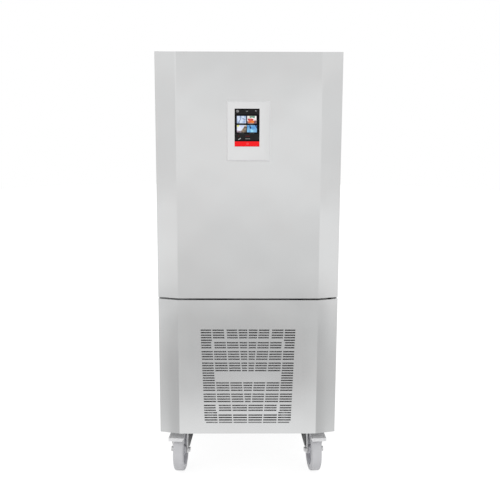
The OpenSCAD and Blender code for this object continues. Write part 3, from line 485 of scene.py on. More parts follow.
def cleaned(mesh, sharp=None):
    """Doubles merged and faces turned outwards; smooth up to the angle sharp, if one is given."""
    work = bmesh.new()
    work.from_mesh(mesh)
    bmesh.ops.remove_doubles(work, verts=work.verts, dist=1e-7)
    bmesh.ops.recalc_face_normals(work, faces=work.faces)
    work.to_mesh(mesh)
    work.free()
    if sharp:
        mesh.shade_smooth()
        mesh.set_sharp_from_angle(angle=math.radians(sharp))
    return mesh


def solid_mesh(name, points, faces, smooth=False):
    """A closed mesh from points in millimetres, its faces turned outwards."""
    mesh = bpy.data.meshes.new(name)
    mesh.from_pydata([Vector(p) * MM for p in points], [], faces)
    return cleaned(mesh, CORNER_ANGLE if smooth else None)


def ring_faces(rings, count, around=False, base=0):
    """Faces between neighbouring rings of count points; around joins the last ring to the first."""
    return [(base + k * count + j, base + k * count + (j + 1) % count,
             base + (k + 1) % rings * count + (j + 1) % count, base + (k + 1) % rings * count + j)
            for k in range(rings if around else rings - 1) for j in range(count)]


def sheet_faces(rows, count, base=0):
    """Faces of a thin sheet: two sides of rows of count points each, and the wall along its border."""
    shift = rows * count
    firsts = [base + layer + i * count + j
              for layer in (0, shift) for i in range(rows - 1) for j in range(count - 1)]
    border = [i * count for i in range(rows)] + [(rows - 1) * count + j for j in range(1, count)]
    border += [i * count + count - 1 for i in range(rows - 2, -1, -1)] + list(range(count - 2, 0, -1))
    border = [base + number for number in border]
    return ([(a, a + 1, a + count + 1, a + count) for a in firsts]
            + [(a, b, b + shift, a + shift) for a, b in zip(border, border[1:] + border[:1])])


def joined(name, meshes):
    """One mesh from several."""
    work = bmesh.new()
    for mesh in meshes:
        work.from_mesh(mesh)
    made = bpy.data.meshes.new(name)
    work.to_mesh(made)
    work.free()
    for mesh in meshes:
        bpy.data.meshes.remove(mesh)
    return made


def box_mesh(name, low, high):
    (x0, y0, z0), (x1, y1, z1) = low, high
    points = [(x, y, z) for x in (x0, x1) for y in (y0, y1) for z in (z0, z1)]
    faces = [(0, 1, 3, 2), (4, 6, 7, 5), (0, 4, 5, 1), (2, 3, 7, 6), (0, 2, 6, 4), (1, 5, 7, 3)]
    return solid_mesh(name, points, faces)


def lathe(name, profile, centre, axis, steps=48):
    """A profile of (radius, height) points turned round an axis through centre."""
    along = Vector(axis).normalized()
    out = along.orthogonal().normalized()
    side = along.cross(out)
    points = []
    for k in range(steps):
        angle = 2 * math.pi * k / steps
        ray = out * math.cos(angle) + side * math.sin(angle)
        points += [Vector(centre) + ray * r + along * h for r, h in profile]
    return solid_mesh(name, points, ring_faces(steps, len(profile), around=True), smooth=True)


def arc(centre, radius, start, stop, count):
    """Points on an arc in the XZ plane, angles in degrees."""
    x, y, z = centre
    return [(x + radius * math.cos(math.radians(a)), y, z + radius * math.sin(math.radians(a)))
            for a in (start + (stop - start) * k / (count - 1) for k in range(count))]


def merged_copy(node_name):
    """A CAD node's mesh with its triangles joined up, flat faces made whole."""
    work = bmesh.new()
    work.from_mesh(NODES[node_name].data)
    bmesh.ops.remove_doubles(work, verts=work.verts, dist=2e-6)
    bmesh.ops.dissolve_limit(work, angle_limit=math.radians(0.6), verts=work.verts, edges=work.edges)
    mesh = bpy.data.meshes.new(node_name + "_formed")
    work.to_mesh(mesh)
    work.free()
    for name in [a.name for a in mesh.attributes if a.name == "custom_normal"]:
        mesh.attributes.remove(mesh.attributes[name])
    return mesh


def formed(node_name, corner, bend=None, seat_y=None, finish=None):
    """A merged copy with rounded corners; long shallow folds get the larger bend radius. Millimetres.

    Edges that lie in the plane seat_y stay sharp, because the part sits on another one there.
    """
    mesh = merged_copy(node_name)
    work = bmesh.new()
    work.from_mesh(mesh)
    weight = work.edges.layers.float.new("bevel_weight_edge")
    widest = max(corner, bend or 0)
    for edge in work.edges:
        if len(edge.link_faces) != 2:
            continue
        if seat_y is not None and all(abs(v.co.y - seat_y * MM) < 1e-5 for v in edge.verts):
            continue
        angle = math.degrees(edge.calc_face_angle(0))
        if angle > CORNER_ANGLE:
            edge[weight] = corner / widest
        elif bend and angle > FOLD_ANGLE and edge.calc_length() > FOLD_LENGTH:
            edge[weight] = 1.0
    work.to_mesh(mesh)
    work.free()
    mesh.shade_smooth()
    mesh.set_sharp_from_angle(angle=math.radians(CORNER_ANGLE))
    piece = new_piece(node_name + "_formed", mesh, BODY_OF[node_name], SLOT_OF[node_name], finish)
    bevel = piece.modifiers.new("edges", "BEVEL")
    bevel.width = widest * MM
    bevel.segments = 2
    bevel.limit_method = "WEIGHT"
    bevel.harden_normals = True
    return stand_in(piece, node_name)


def points_tree():
    """Geometry nodes that put one unit on each point and give the result a finish."""
    tree = bpy.data.node_groups.new("units_on_points", "GeometryNodeTree")
    sockets = {}
    for name, way, kind in (("Points", "INPUT", "Geometry"), ("Unit", "INPUT", "Object"),
                            ("Size", "INPUT", "Float"), ("Finish", "INPUT", "Material"),
                            ("Result", "OUTPUT", "Geometry")):
        made = tree.interface.new_socket(name, in_out=way, socket_type="NodeSocket" + kind)
        sockets[name] = made.identifier
    nodes = {name: tree.nodes.new(kind) for name, kind in (
        ("start", "NodeGroupInput"), ("unit", "GeometryNodeObjectInfo"),
        ("put", "GeometryNodeInstanceOnPoints"), ("real", "GeometryNodeRealizeInstances"),
        ("finish", "GeometryNodeSetMaterial"), ("end", "NodeGroupOutput"))}
    for source, out, target, into in (
            ("start", "Points", "put", "Points"), ("start", "Unit", "unit", "Object"),
            ("unit", "Geometry", "put", "Instance"), ("start", "Size", "put", "Scale"),
            ("put", "Instances", "real", "Geometry"), ("real", "Geometry", "finish", "Geometry"),
            ("start", "Finish", "finish", "Material"), ("finish", "Geometry", "end", "Result")):
        tree.links.new(nodes[source].outputs[out], nodes[target].inputs[into])
    return tree, sockets


POINTS_TREE, POINTS_SOCKETS = points_tree()


def repeated(name, unit, places, slot):
    """The unit mesh, made round the origin, repeated at places in millimetres."""
    cloud = bpy.data.meshes.new(name + "_places")
    cloud.from_pydata([Vector(p) * MM for p in places], [], [])
    holder = new_object(name + "_holder", cloud)
    pattern = new_object(name + "_unit", unit)
    modifier = holder.modifiers.new("repeat", "NODES")
    modifier.node_group = POINTS_TREE
    for socket, value in (("Unit", pattern), ("Size", 1.0), ("Finish", FINISHES[slot])):
        modifier[POINTS_SOCKETS[socket]] = value
    evaluated = holder.evaluated_get(bpy.context.evaluated_depsgraph_get())
    mesh = bpy.data.meshes.new_from_object(evaluated)
    mesh.name = name
    holder.modifiers.remove(modifier)
    for item in (holder, pattern):
        bpy.data.objects.remove(item)
    return mesh


def wires(name, paths, radius, closed=False, sides=10):
    """Round wire or tube along each path of points in millimetres."""
    curve = bpy.data.curves.new(name, "CURVE")
    curve.dimensions = "3D"
    curve.bevel_depth = radius * MM
    curve.bevel_resolution = max(0, sides // 2 - 2)
    curve.use_fill_caps = not closed
    for path in paths:
        spline = curve.splines.new("POLY")
        spline.points.add(len(path) - 1)
        for point, place in zip(spline.points, path):
            point.co = (*(Vector(place) * MM), 1.0)
        spline.use_cyclic_u = closed
    holder = new_object(name, curve)
    mesh = bpy.data.meshes.new_from_object(holder.evaluated_get(bpy.context.evaluated_depsgraph_get()))
    bpy.data.objects.remove(holder)
    return cleaned(mesh, 50)


def rounded(points, radius, steps=6):
    """The path with an arc of this radius at each corner."""
    points = [Vector(p) for p in points]
    path = [points[0]]
    for before, corner, after in zip(points, points[1:], points[2:]):
        back, on = before - corner, after - corner
        reach = min(radius, back.length * 0.49, on.length * 0.49)
        start, end = corner + back.normalized() * reach, corner + on.normalized() * reach
        for k in range(steps + 1):
            t = k / steps
            path.append(start * (1 - t) ** 2 + corner * 2 * t * (1 - t) + end * t ** 2)
    return path + [points[-1]]


# ---- sheet metal and castings taken over from the CAD model -------------------------------------

# Corner radii in millimetres
CORNERS = {
    "side_panel_left": 0.8, "side_panel_right": 0.8, "top_panel": 0.6, "back_panel": 0.5,
    "rear_vent_cover": 0.5, "base_chassis": 0.6, "front_frame": 0.8, "chamber_liner": 0.6,
    "fan_panel": 0.6, "tray_rack_left": 0.6, "tray_rack_right": 0.6, "hinge_bracket_upper": 0.6,
    "hinge_bracket_lower": 0.6, "hinge_bushes": 0.4,
    "condenser_shroud": 0.7, "condenser_fan_motor": 1.2, "evaporator_fan_motors": 1.2, "compressor": 1.6,
    "compressor_feet": 1.2, "liquid_receiver": 1.2, "filter_drier": 2.0, "control_box": 1.5,
    "condensate_tray": 0.8, "drain_pipe": 0.6, "power_gland": 0.8, "probe_gland": 1.0, "caster_plates": 0.8,
    "door_liner": 1.2, "door_grip": 0.5, "display_glass": 0.2, "display_module": 0.5,
    **{"fork_" + name: 0.7 for name in WHEEL_NAMES}, **{"core_" + name: 1.2 for name in WHEEL_NAMES},
    "pedal_left": 0.7, "pedal_right": 0.7,
}
FRONT_SHEETS = {"door_skin": 0.6, "lower_front_panel": 0.5}
FOLD_R = 4.0


def dress_cad_nodes():
    for name, node in NODES.items():
        node.data.materials.clear()
        node.data.materials.append(FINISHES[SLOT_OF[name]])


def form_cad_nodes():
    for name, corner in CORNERS.items():
        formed(name, corner, finish=FINISHES.get(name.split("_")[0] + "_zinc"))
    for name, corner in FRONT_SHEETS.items():
        formed(name, corner, FOLD_R, finish=FINISHES["front_stainless"])
    formed("display_bezel", 0.7, 1.5, seat_y=FACE_Y)


# ---- fasteners ----------------------------------------------------------------------------------

SCREW_X = 386.0
COVER_SCREW_Z = (278, 828, 908, 1399, 1890)
BAFFLE_SCREWS = [(s * x, BAFFLE_Y, z) for s in (-1, 1) for x in (103.4, 251.2) for z in (996.0, 1808.5)]
LOWER_HINGE_SCREWS = [(374.0, -350.0, 844.0), (374.0, -350.0, 814.0)]
UPPER_HINGE_SCREWS = [(380.0, -323.0, 1935.0), (380.0, -283.0, 1935.0)]
CASTERS = ((-309.0, -240.0, -1), (309.0, -240.0, 1), (-309.0, 285.0, -1), (309.0, 285.0, 1))
BOLT_HALF = (52.5, 40.0)
HEX_R = 7.8


def pan_head(name, towards):
    """A pan-head screw with a cross recess, its seat at the origin, facing towards."""
    slot, arm = 0.55, 2.3
    cross = []
    for turn in range(4):
        c, s = ((1, 0), (0, 1), (-1, 0), (0, -1))[turn]
        cross += [(c * x - s * y, s * x + c * y) for x, y in ((arm, -slot), (arm, slot), (slot, slot))]
    angles = [math.atan2(y, x) for x, y in cross]
    rings = [[(x * 0.75, y * 0.75, 1.1) for x, y in cross], [(x, y, 2.8) for x, y in cross]]
    for radius, height in ((3.2, 2.6), (4.5, 1.7), (5.0, 0.5), (5.0, 0.0)):
        rings.append([(radius * math.cos(a), radius * math.sin(a), height) for a in angles])
    count = len(cross)
    ends = [tuple(range(count)), tuple(range((len(rings) - 1) * count, len(rings) * count))]
    turn = Vector((0, 0, 1)).rotation_difference(Vector(towards)).to_matrix()
    return solid_mesh(name, [turn @ Vector(p) for ring in rings for p in ring],
                      ends + ring_faces(len(rings), count), smooth=True)


def make_panel_screws():
    cover = [(s * SCREW_X, BACK_Y, z) for s in (-1, 1) for z in COVER_SCREW_Z]
    groups = (((0, 1, 0), cover), ((0, -1, 0), BAFFLE_SCREWS + LOWER_HINGE_SCREWS),
              ((0, 0, 1), UPPER_HINGE_SCREWS))
    meshes = [repeated("screws", pan_head("screw", towards), places, "zinc") for towards, places in groups]
    piece = new_piece("panel_screw_heads", joined("panel_screw_heads", meshes), "cabinet", "zinc")
    stand_in(piece, "panel_screws")


def hex_prism(name, radius, low, high, chamfer):
    rings = [(radius - chamfer, low), (radius, low + chamfer * 0.6), (radius, high - chamfer * 0.6),
             (radius - chamfer, high)]
    turns = [math.pi * k / 3 for k in range(6)]
    points = [(r * math.cos(a), r * math.sin(a), h) for r, h in rings for a in turns]
    return solid_mesh(name, points, ring_faces(4, 6) + [tuple(range(6)), tuple(range(18, 24))])


def make_caster_bolts():
    places = [(x + sx * BOLT_HALF[0], y + sy * BOLT_HALF[1], 0.0)
              for x, y, _ in CASTERS for sx in (-1, 1) for sy in (-1, 1)]
    upright = ((0, 0, 0), (0, 0, 1))
    shank = [(0.01, 227.0), (5.0, 227.0), (5.0, 243.5), (4.2, 244.6), (0.01, 244.6)]
    washer = [(5.0, 238.0), (8.0, 238.0), (8.0, 239.2), (5.0, 239.2)]
    unit = joined("bolt_unit", [
        hex_prism("bolt_head", HEX_R, 224.0, 227.0, 0.8),
        lathe("bolt_shank", shank, *upright, steps=12),
        lathe("bolt_washer", washer, *upright, steps=16),
        hex_prism("bolt_nut", HEX_R, 239.2, 243.6, 0.8)])
    mesh = repeated("caster_bolts_turned", unit, places, "zinc")
    stand_in(new_piece("caster_bolts_turned", mesh, "cabinet", "zinc"), "caster_bolts")


# ---- back ---------------------------------------------------------------------------------------

LOUVRE_X = (-220.0, 0.0, 220.0)
LOUVRE_HALF = 90.0
LOUVRE_Z = [366.0 + 24.0 * k for k in range(14)]
HOOD_STEPS = 6
HOOD_DROP = 10.0
HOOD_OUT = 2.7
HOOD_WALL = 0.8


def make_louvre_hoods():
    """Pressed hoods over the slots in the rear cover, open below."""
    profile = [(0.1 + HOOD_OUT * math.sin(math.pi / 2 * k / HOOD_STEPS), -HOOD_DROP * k / HOOD_STEPS)
               for k in range(HOOD_STEPS + 1)]
    ends = [(-LOUVRE_HALF - 4, 0.02), (-LOUVRE_HALF, 0.75), (-LOUVRE_HALF + 5, 1.0),
            (LOUVRE_HALF - 5, 1.0), (LOUVRE_HALF, 0.75), (LOUVRE_HALF + 4, 0.02)]
    points = [(x, max(out * swell + wall, wall), z + 10.5)
              for wall in (0.0, -HOOD_WALL) for x, swell in ends for out, z in profile]
    unit = solid_mesh("hood_unit", points, sheet_faces(len(ends), len(profile)), smooth=True)
    places = [(x, BACK_Y, z) for x in LOUVRE_X for z in LOUVRE_Z]
    mesh = repeated("louvre_hoods", unit, places, "galvanised")
    new_piece("louvre_hoods", mesh, "cabinet", "galvanised")


# ---- air side -----------------------------------------------------------------------------------

GUARD_Y = 167.0
GUARD_RADII = [141.0 - 16.0 * k for k in range(8)]
SPOKE_Y = 170.0
GUARD_WIRE_R = 1.5
FAN_DEPTH = 30.0
BLADE_THICK = 1.6
FIN_FOLDS = 6
FIN_WAVE = 1.5


def make_fan_guards():
    rings = [arc((0, GUARD_Y, z), r, 0, 352.5, 48) for z in FAN_Z for r in GUARD_RADII]
    spokes = []
    for z in FAN_Z:
        for turn in (0, 45, 90, 135):
            c, s = math.cos(math.radians(turn)), math.sin(math.radians(turn))
            bent = [(-GUARD_RADII[0], BAFFLE_Y), (-GUARD_RADII[0], SPOKE_Y), (GUARD_RADII[0], SPOKE_Y),
                    (GUARD_RADII[0], BAFFLE_Y)]
            spokes.append(rounded([(r * c, y, z + r * s) for r, y in bent], 2.5, 4))
    hub = GUARD_RADII[-1]
    caps = [lathe("guard_cap", [(0.01, -2.2), (hub * 0.6, -1.8), (hub, -0.6), (hub, 0.6), (0.01, 0.6)],
                  (0, GUARD_Y, z), (0, 1, 0), steps=32) for z in FAN_Z]
    mesh = joined("fan_guard_wires", [wires("rings", rings, GUARD_WIRE_R, closed=True, sides=8),
                                      wires("spokes", spokes, GUARD_WIRE_R, sides=8)] + caps)
    stand_in(new_piece("fan_guard_wires", mesh, "cabinet", "guard_wire"), "fan_guards")


def blade_grid(radius, hub, depth, chord_root, chord_tip, pitch_root, pitch_tip, along=9, across=7):
    """Two faces of one swept, cambered blade as rows of points round the +Z arm; depth runs along Y."""
    rows = []
    for i in range(along + 1):
        t = i / along
        r = hub * 0.9 + (radius - hub * 0.9) * t
        chord = chord_root + (chord_tip - chord_root) * t
        pitch = math.radians(pitch_root + (pitch_tip - pitch_root) * t)
        sweep = 0.28 * t * t
        row = []
        for j in range(across + 1):
            u = j / across - 0.5
            camber = 0.07 * chord * (1 - 4 * u * u)
            side = u * chord * math.cos(pitch) + camber * math.sin(pitch)
            deep = u * chord * math.sin(pitch) - camber * math.cos(pitch)
            deep = max(-depth / 2, min(depth / 2, deep))
            angle = side / r + sweep
            row.append((r * math.sin(angle), deep, r * math.cos(angle)))
        rows.append(row)
    return rows


def make_fan(name, body, node, y, z, radius, blades):
    """A moulded fan with curved blades, hub and shaft; the hub's front at y."""
    depth = FAN_DEPTH
    hub = radius * 0.24
    rows = blade_grid(radius, hub, depth - 4, radius * 0.62, radius * 0.80, 38, 24)
    points, faces = [], []
    for k in range(blades):
        turn = Matrix.Rotation(2 * math.pi * k / blades, 3, "Y")
        faces += sheet_faces(len(rows), len(rows[0]), base=len(points))
        for side in (-0.5, 0.5):
            points += [turn @ Vector((px, py + side * BLADE_THICK, pz)) + Vector((0, y + depth / 2, z))
                       for row in rows for px, py, pz in row]
    vanes = solid_mesh(name + "_vanes", points, faces, smooth=True)
    boss = lathe(name + "_boss", [(0.01, 0.0), (hub * 0.72, 0.6), (hub * 0.93, 3.0), (hub, 8.0), (hub, depth),
                                  (hub - 2, depth), (hub - 3, 10.0), (10.0, 8.0), (10.0, depth), (4.0, depth),
                                  (4.0, depth + 25), (3.0, depth + 26), (0.01, depth + 26)],
                 (0, y, z), (0, 1, 0), steps=40)
    mesh = joined(name, [vanes, boss])
    stand_in(new_piece(name, mesh, body, "black_plastic"), node)


def serpentine(x_half, y, z_low, gap, rows):
    """A tube that runs to and fro, joined by half turns outside the end plates."""
    path = []
    for j in range(rows):
        way = 1 if j % 2 == 0 else -1
        z = z_low + gap * j
        path += [(-way * x_half, y, z), (way * x_half, y, z)]
        if j < rows - 1:
            path += [(way * (x_half + gap / 2 * math.sin(a)), y, z + gap / 2 * (1 - math.cos(a)))
                     for a in (math.pi * k / 8 for k in range(1, 8))]
    return path


def make_coil(name, x_half, y0, y1, z0, z1, pitch, tube_y, tube_z, gap, rows, tube_r, feet):
    """A coil with folded fins, end plates, rails, legs, and one tube to and fro through the fins."""
    fin = [(FIN_WAVE if k % 2 else -FIN_WAVE, y0 + 1 + (y1 - y0 - 2) * k / FIN_FOLDS)
           for k in range(FIN_FOLDS + 1)]
    points = [(x + side, y, z) for side in (-0.15, 0.15) for x, y in fin for z in (z0 + 3, z1 - 3)]
    unit = solid_mesh("fin_unit", points, sheet_faces(len(fin), 2))
    number = int((2 * x_half - 8) / pitch)
    places = [((k - (number - 1) / 2) * pitch, 0, 0) for k in range(number)]
    fins = repeated(name + "_fins", unit, places, "fin_aluminium")
    plates = [box_mesh("end_plate", (x - 1, y0, z0), (x + 1, y1, z1)) for x in (1 - x_half, x_half - 1)]
    rails = [box_mesh("rail", (-x_half, y0, z), (x_half, y1, z + 2)) for z in (z0, z1 - 2)]
    legs = [box_mesh("leg", low, high) for low, high in feet]
    stand_in(new_piece(name + "_fins", joined(name + "_fins", [fins] + plates + rails + legs), "cabinet",
                       "fin_aluminium"), name + "_coil")
    tube = wires(name + "_tube", [serpentine(x_half, tube_y, tube_z, gap, rows)], tube_r, sides=10)
    new_piece(name + "_tube", tube, "cabinet", "copper")


def make_coils():
    make_coil("condenser", x_half=260, y0=-325, y1=-265, z0=298, z1=718, pitch=3.2,
              tube_y=-295, tube_z=316, gap=24, rows=17, tube_r=5,
              feet=[((s * 173 - 15, -325, 238), (s * 173 + 15, -265, 298)) for s in (-1, 1)])
    make_coil("evaporator", x_half=275.5, y0=279.5, y1=353.5, z0=986, z1=1818.5, pitch=4.0,
              tube_y=316.5, tube_z=1011, gap=30, rows=25, tube_r=4,
              feet=[((s * 248 - 10, 279.5, 936), (s * 248 + 10, 309.5, 986)) for s in (-1, 1)])


# Middle lines of the refrigerant pipes, their radius and the radius of their bends
PIPE_R = 5.0
PIPE_BEND_R = 22
PIPE_RUNS = (
    [(200, 335.5, 976), (200, 335.5, 652), (180, 335.5, 652), (180, 150, 652), (180, 150, 415)],
    [(130, 150, 415), (130, 150, 592), (300, 150, 592), (300, -295, 592), (260, -295, 592)],
    [(-260, -295, 308), (-300, -295, 308), (-300, 120, 308), (-270, 120, 308)],
    [(-230, 120, 466), (-230, 120, 542), (-135, 120, 542), (-135, 120, 512)],
    [(-135, 120, 374), (-135, 120, 348), (-135, 360.5, 348), (230, 360.5, 348), (230, 335.5, 348),
     (230, 335.5, 976)],
)


def make_pipes():
    mesh = wires("pipe_runs", [rounded(run, PIPE_BEND_R, 8) for run in PIPE_RUNS], PIPE_R, sides=12)
    stand_in(new_piece("pipe_runs", mesh, "cabinet", "copper"), "refrigerant_pipes")


# ---- door seal ----------------------------------------------------------------------------------

def make_door_seal():
    """A push-in seal: flat flange, folded bellows and a flat face for the magnet."""
    inner_x, low_z, high_z = 345.5, 926.0, 1878.5
    half = [(0, -355), (0, -352.4), (3.5, -352.0), (4.9, -351.0), (2.9, -350.2), (4.7, -349.2), (2.9, -348.2),
            (3.2, -346.2), (4.4, -345.3)]
    profile = half + [(22 - a, y) for a, y in reversed(half)]
    corners = ((-1, 0), (1, 0), (1, 1), (-1, 1))
    points = [(sx * (inner_x + a), y, high_z + a if up else low_z - a)
              for sx, up in corners for a, y in profile]
    mesh = solid_mesh("door_seal", points, ring_faces(4, len(profile), around=True), smooth=True)
    stand_in(new_piece("door_seal", mesh, "door", "seal_rubber"), "door_gasket")


# ---- wheels -------------------------------------------------------------------------------------

TOE = 5.5
TRAIL = 50.0
WHEEL_R = 100.0
TREAD_IN_R = 80.0
TREAD_HALF = 24.0
SHOULDER_R = 9.5


def make_treads():
    """The tyres, with rounded shoulders, turned a little outwards at the toe as the forks are."""
    side = [(TREAD_IN_R, TREAD_HALF)] + [
        (WHEEL_R - SHOULDER_R + SHOULDER_R * math.sin(a), TREAD_HALF - SHOULDER_R + SHOULDER_R * math.cos(a))
        for a in (math.pi / 2 * k / 6 for k in range(7))]
    profile = [(r, -h) for r, h in side] + [(r, h) for r, h in reversed(side)]
    for (x, y, way), name in zip(CASTERS, WHEEL_NAMES):
        turn = math.radians(way * TOE)
        centre = (x + TRAIL * math.sin(turn), y - TRAIL * math.cos(turn), WHEEL_R)
        mesh = lathe("tyre_" + name, profile, centre, (math.cos(turn), math.sin(turn), 0), steps=96)
        stand_in(new_piece("tyre_" + name, mesh, "wheel_" + name, "wheel_tread"), "tread_" + name)


# ---- display ------------------------------------------------------------------------------------

SCREEN_W = SCREEN[2] - SCREEN[0]
LAYER = 0.12


def on_screen(name, shapes, layer, finish):
    """Flat lit shapes on the glass, each a list of (right, down) in millimetres from its top left corner."""
    front = SCREEN_Y - LAYER * layer
    points, faces = [], []
    for shape in shapes:
        base, count = len(points), len(shape)
        points += [(SCREEN[0] + right, y, SCREEN[3] - down)
                   for y in (front, SCREEN_Y + 0.1) for right, down in shape]
        faces += [tuple(range(base, base + count)), tuple(range(base + count, base + 2 * count))]
        faces += ring_faces(2, count, base=base)
    return new_piece(name, solid_mesh(name, points, faces), "door", "screen_glass", finish)


def oblong(x0, y0, x1, y1):
    return [(x0, y0), (x1, y0), (x1, y1), (x0, y1)]


def disc(x, y, r, steps=24):
    turns = [2 * math.pi * k / steps for k in range(steps)]
    return [(x + r * math.cos(a), y + r * math.sin(a)) for a in turns]


def fan_of_arcs(x, y):
    """Wireless sign: a dot and two arcs."""
    angles = [math.radians(-42 + 84 * k / 8) for k in range(9)]
    shapes = [disc(x, y + 2.6, 0.8, 10)]
    for radius in (3.0, 5.2):
        outer, inner = [[(x + r * math.sin(a), y + 2.6 - r * math.cos(a)) for a in angles]
                        for r in (radius + 0.55, radius - 0.55)]
        shapes.append(outer + inner[::-1])
    return shapes


SEGMENTS = {"0": "abcdef", "1": "bc", "2": "abdeg", "3": "abcdg"}


def clock_bars(text, x, y, w=1.5, h=3.0, gap=0.75, t=0.36):
    """Digits of a seven-bar clock, centred on x."""
    bars = {"a": oblong(0, 0, w, t), "g": oblong(0, h / 2 - t / 2, w, h / 2 + t / 2),
            "d": oblong(0, h - t, w, h), "f": oblong(0, 0, t, h / 2), "b": oblong(w - t, 0, w, h / 2),
            "e": oblong(0, h / 2, t, h), "c": oblong(w - t, h / 2, w, h)}
    total = sum((w if ch != ":" else t) + gap for ch in text) - gap
    left = x - total / 2
    shapes = []
    for ch in text:
        if ch == ":":
            shapes += [oblong(left, top, left + t, top + t) for top in (y - h / 5, y + h / 5)]
            left += t + gap
            continue
        shapes += [[(left + bx, y - h / 2 + by) for bx, by in bars[bar]] for bar in SEGMENTS[ch]]
        left += w + gap
    return shapes


def dashes(x, y, lengths, height=0.9, gap=1.2):
    """A caption as plain dashes, centred on x."""
    left = x - (sum(lengths) + gap * (len(lengths) - 1)) / 2
    shapes = []
    for length in lengths:
        shapes.append(oblong(left, y - height / 2, left + length, y + height / 2))
        left += length + gap
    return shapes


TILES = (((9.8, 31.0), (48.9, 62.0)), ((53.1, 31.0), (92.8, 62.0)),
         ((9.8, 69.8), (50.6, 100.3)), ((53.1, 69.8), (95.0, 100.3)))


WHOLE = ((0, 0), (1, 0), (1, 1), (0, 1))

# Piece, finish, layer, two 8-bit colours, scale of the patches, tile, shapes as shares of the tile,
# and for some the stretch and detail of the patches
PICTURES = (
    ("tile_ice", "picture_ice", 1, (214, 226, 246), (150, 174, 212), 75, 0, [WHOLE], (1.6, 1, 0.7), 2.0),
    ("tile_ice_streaks", "picture_ice_shade", 2, (150, 164, 192), (118, 134, 168), 120, 0,
     [((0.36, 0), (0.47, 0), (0.43, 0.45), (0.2, 1), (0.1, 1), (0.32, 0.5)),
      ((0.55, 0.28), (0.95, 0.42), (0.95, 0.55), (0.62, 0.44))], (1, 1, 1), 2.0),
    ("tile_dish", "picture_dish", 1, (252, 250, 248), (232, 226, 222), 80, 1, [WHOLE]),
    ("tile_dish_leaves", "picture_leaves", 2, (150, 178, 96), (70, 134, 130), 150, 1,
     [((0.24, 0.02), (0.86, 0.02), (0.8, 0.3), (0.52, 0.2), (0.28, 0.3))]),
    ("tile_dish_fillet", "picture_fillet", 2, (196, 52, 56), (222, 104, 92), 130, 1,
     [((0.06, 0.36), (0.5, 0.34), (0.72, 0.44), (0.62, 0.62), (0.2, 0.66), (0.08, 0.54))]),
    ("tile_dish_sauce", "picture_sauce", 3, (238, 132, 52), (206, 84, 52), 130, 1,
     [((0.1, 0.66), (0.62, 0.62), (0.94, 0.6), (0.94, 0.97), (0.12, 0.97))]),
    ("tile_dish_corner", "picture_shadow", 4, (150, 84, 84), (96, 80, 100), 130, 1,
     [((0.78, 0.66), (0.99, 0.6), (0.99, 0.99), (0.7, 0.99)),
      ((0, 0.7), (0.08, 0.68), (0.12, 0.99), (0, 0.99))]),
    ("tile_loaf", "picture_cloth", 1, (206, 216, 242), (232, 236, 248), 60, 2, [WHOLE]),
    ("tile_loaf_fruit", "picture_fruit", 2, (222, 224, 96), (246, 244, 170), 140, 2,
     [((0.0, 0.02), (0.24, 0.0), (0.2, 0.2), (0.04, 0.26))]),
    ("tile_loaf_crust", "picture_crust", 2, (96, 84, 76), (158, 142, 122), 170, 2,
     [((0.82, 0.1), (1, 0.14), (1, 1), (0.06, 1), (0.04, 0.9), (0.46, 0.78))]),
    ("tile_loaf_rind", "picture_rind", 3, (240, 228, 206), (206, 190, 164), 140, 2,
     [((0.7, 0.02), (0.98, 0.02), (0.99, 0.22), (0.86, 0.12))]),
    ("tile_loaf_board", "picture_board", 3, (128, 110, 96), (186, 168, 190), 150, 2,
     [((0, 0.72), (0.24, 0.8), (0.5, 0.84), (0.46, 1), (0, 1))]),
    ("tile_frost", "picture_frost", 1, (86, 152, 214), (128, 184, 226), 70, 3, [WHOLE]),
    ("tile_frost_glow", "picture_glow", 2, (170, 234, 250), (122, 196, 240), 110, 3,
     [((0.34, 0.62), (0.5, 0.56), (0.64, 0.74), (0.6, 0.98), (0.4, 0.98)),
      ((0.02, 0.5), (0.1, 0.46), (0.14, 0.9), (0.04, 0.96))]),
    ("tile_frost_night", "picture_night", 2, (22, 34, 88), (58, 100, 160), 90, 3,
     [((0.78, 0), (1, 0), (1, 0.5), (0.9, 0.3)),
      ((0.22, 0.02), (0.34, 0.02), (0.42, 0.4), (0.3, 0.56))]),
)


def in_tile(number, shares):
    """Points given as shares of a tile's width and height."""
    (x0, y0), (x1, y1) = TILES[number]
    return [(x0 + (x1 - x0) * a, y0 + (y1 - y0) * b) for a, b in shares]


def make_pictures():
    for name, finish, layer, first, second, scale, tile, shapes, *patches in PICTURES:
        on_screen(name, [in_tile(tile, shape) for shape in shapes], layer,
                  glowing(finish, first, second, scale, *patches))


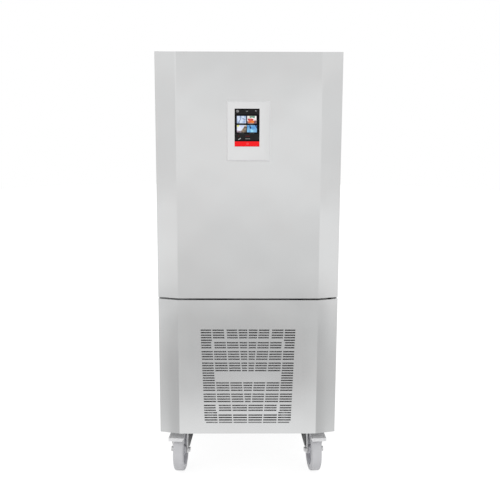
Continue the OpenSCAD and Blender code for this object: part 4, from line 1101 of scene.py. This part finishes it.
def make_display():
    """Status line, four picture tiles, a short menu and a red bar."""
    dim = glowing("screen_grey_dark", (20, 20, 20), (27, 27, 27), 30)
    pale = glowing("screen_grey_light", (176, 176, 176), (210, 210, 210), 60)
    faint = glowing("screen_grey_faint", (112, 112, 112), (130, 130, 130), 60)
    on_screen("screen_bands", [oblong(0.6, 4.5, SCREEN_W - 0.6, 23.2),
                               oblong(0.6, 108.6, SCREEN_W - 0.6, 133.0)], 1, dim)
    on_screen("screen_round_key", [disc(12.6, 10.8, 6.0)], 2,
              glowing("screen_key", (176, 176, 176), (112, 112, 112), 220))
    on_screen("screen_signs", fan_of_arcs(90.2, 10.4) + clock_bars("12:30", 51.7, 11.0), 3, pale)
    captions = (dashes(29.3, 65.5, (9, 13)) + dashes(72.7, 65.5, (6, 9)) + dashes(29.8, 103.3, (21,))
                + dashes(74.2, 103.3, (5, 15)))
    on_screen("screen_captions", captions, 2, faint)
    on_screen("screen_divider", [oblong(0.6, 107.4, SCREEN_W - 0.6, 108.3)], 2,
              glowing("screen_line", (52, 52, 52), (60, 60, 60), 60))
    make_pictures()
    on_screen("menu_marks", [oblong(14.7, 114.6, 16.5, 118.2), oblong(17.3, 114.6, 20.4, 115.4),
                              oblong(17.3, 117.2, 20.4, 118.0)]
              + [oblong(45.7 + 3.2 * k, 114.8, 47.95 + 3.2 * k, 118.4) for k in range(6)], 2,
              glowing("screen_red_dim", (112, 20, 26), (90, 18, 24), 120))
    pencil = [(15.2, 132.4), (16.7, 129.8), (25.5, 124.0), (27.4, 126.2), (18.4, 132.0)]
    on_screen("menu_pencil", [pencil], 2, pale)
    on_screen("menu_label", dashes(55.8, 127.8, (5, 8.5, 4.5), height=3.4, gap=0.9), 2, faint)
    on_screen("bottom_bar", [oblong(0.0, 139.0, SCREEN_W, 160.4)], 2,
              glowing("screen_red", (238, 28, 36), (246, 18, 26), 20, (0.2, 1, 3.0)))
    on_screen("bottom_bar_key", [disc(55.2, 149.6, 5.5)], 3,
              glowing("screen_red_light", (244, 82, 86), (240, 62, 68), 80))


# ---- the whole ----------------------------------------------------------------------------------

bpy.context.scene.view_settings.view_transform = "Standard"
add_camera()
add_world()
add_floor()
add_lamp("key", place=(-2.4, -3.4, 4.6), aim=(0, 0, 1.0), size=(3.2, 3.2), watts=24)
dress_cad_nodes()
form_cad_nodes()
make_panel_screws()
make_caster_bolts()
make_louvre_hoods()
make_fan_guards()
make_fan("condenser_fan_moulded", "condenser_rotor", "condenser_fan",
         y=-245.0, z=508.0, radius=170.0, blades=7)
for level, fan_z in zip(("lower", "upper"), FAN_Z):
    make_fan("evaporator_fan_" + level + "_moulded", level + "_fan_rotor", "evaporator_fan_" + level,
             y=183.5, z=fan_z, radius=127.0, blades=5)
make_coils()
make_pipes()
make_door_seal()
make_treads()
make_display()
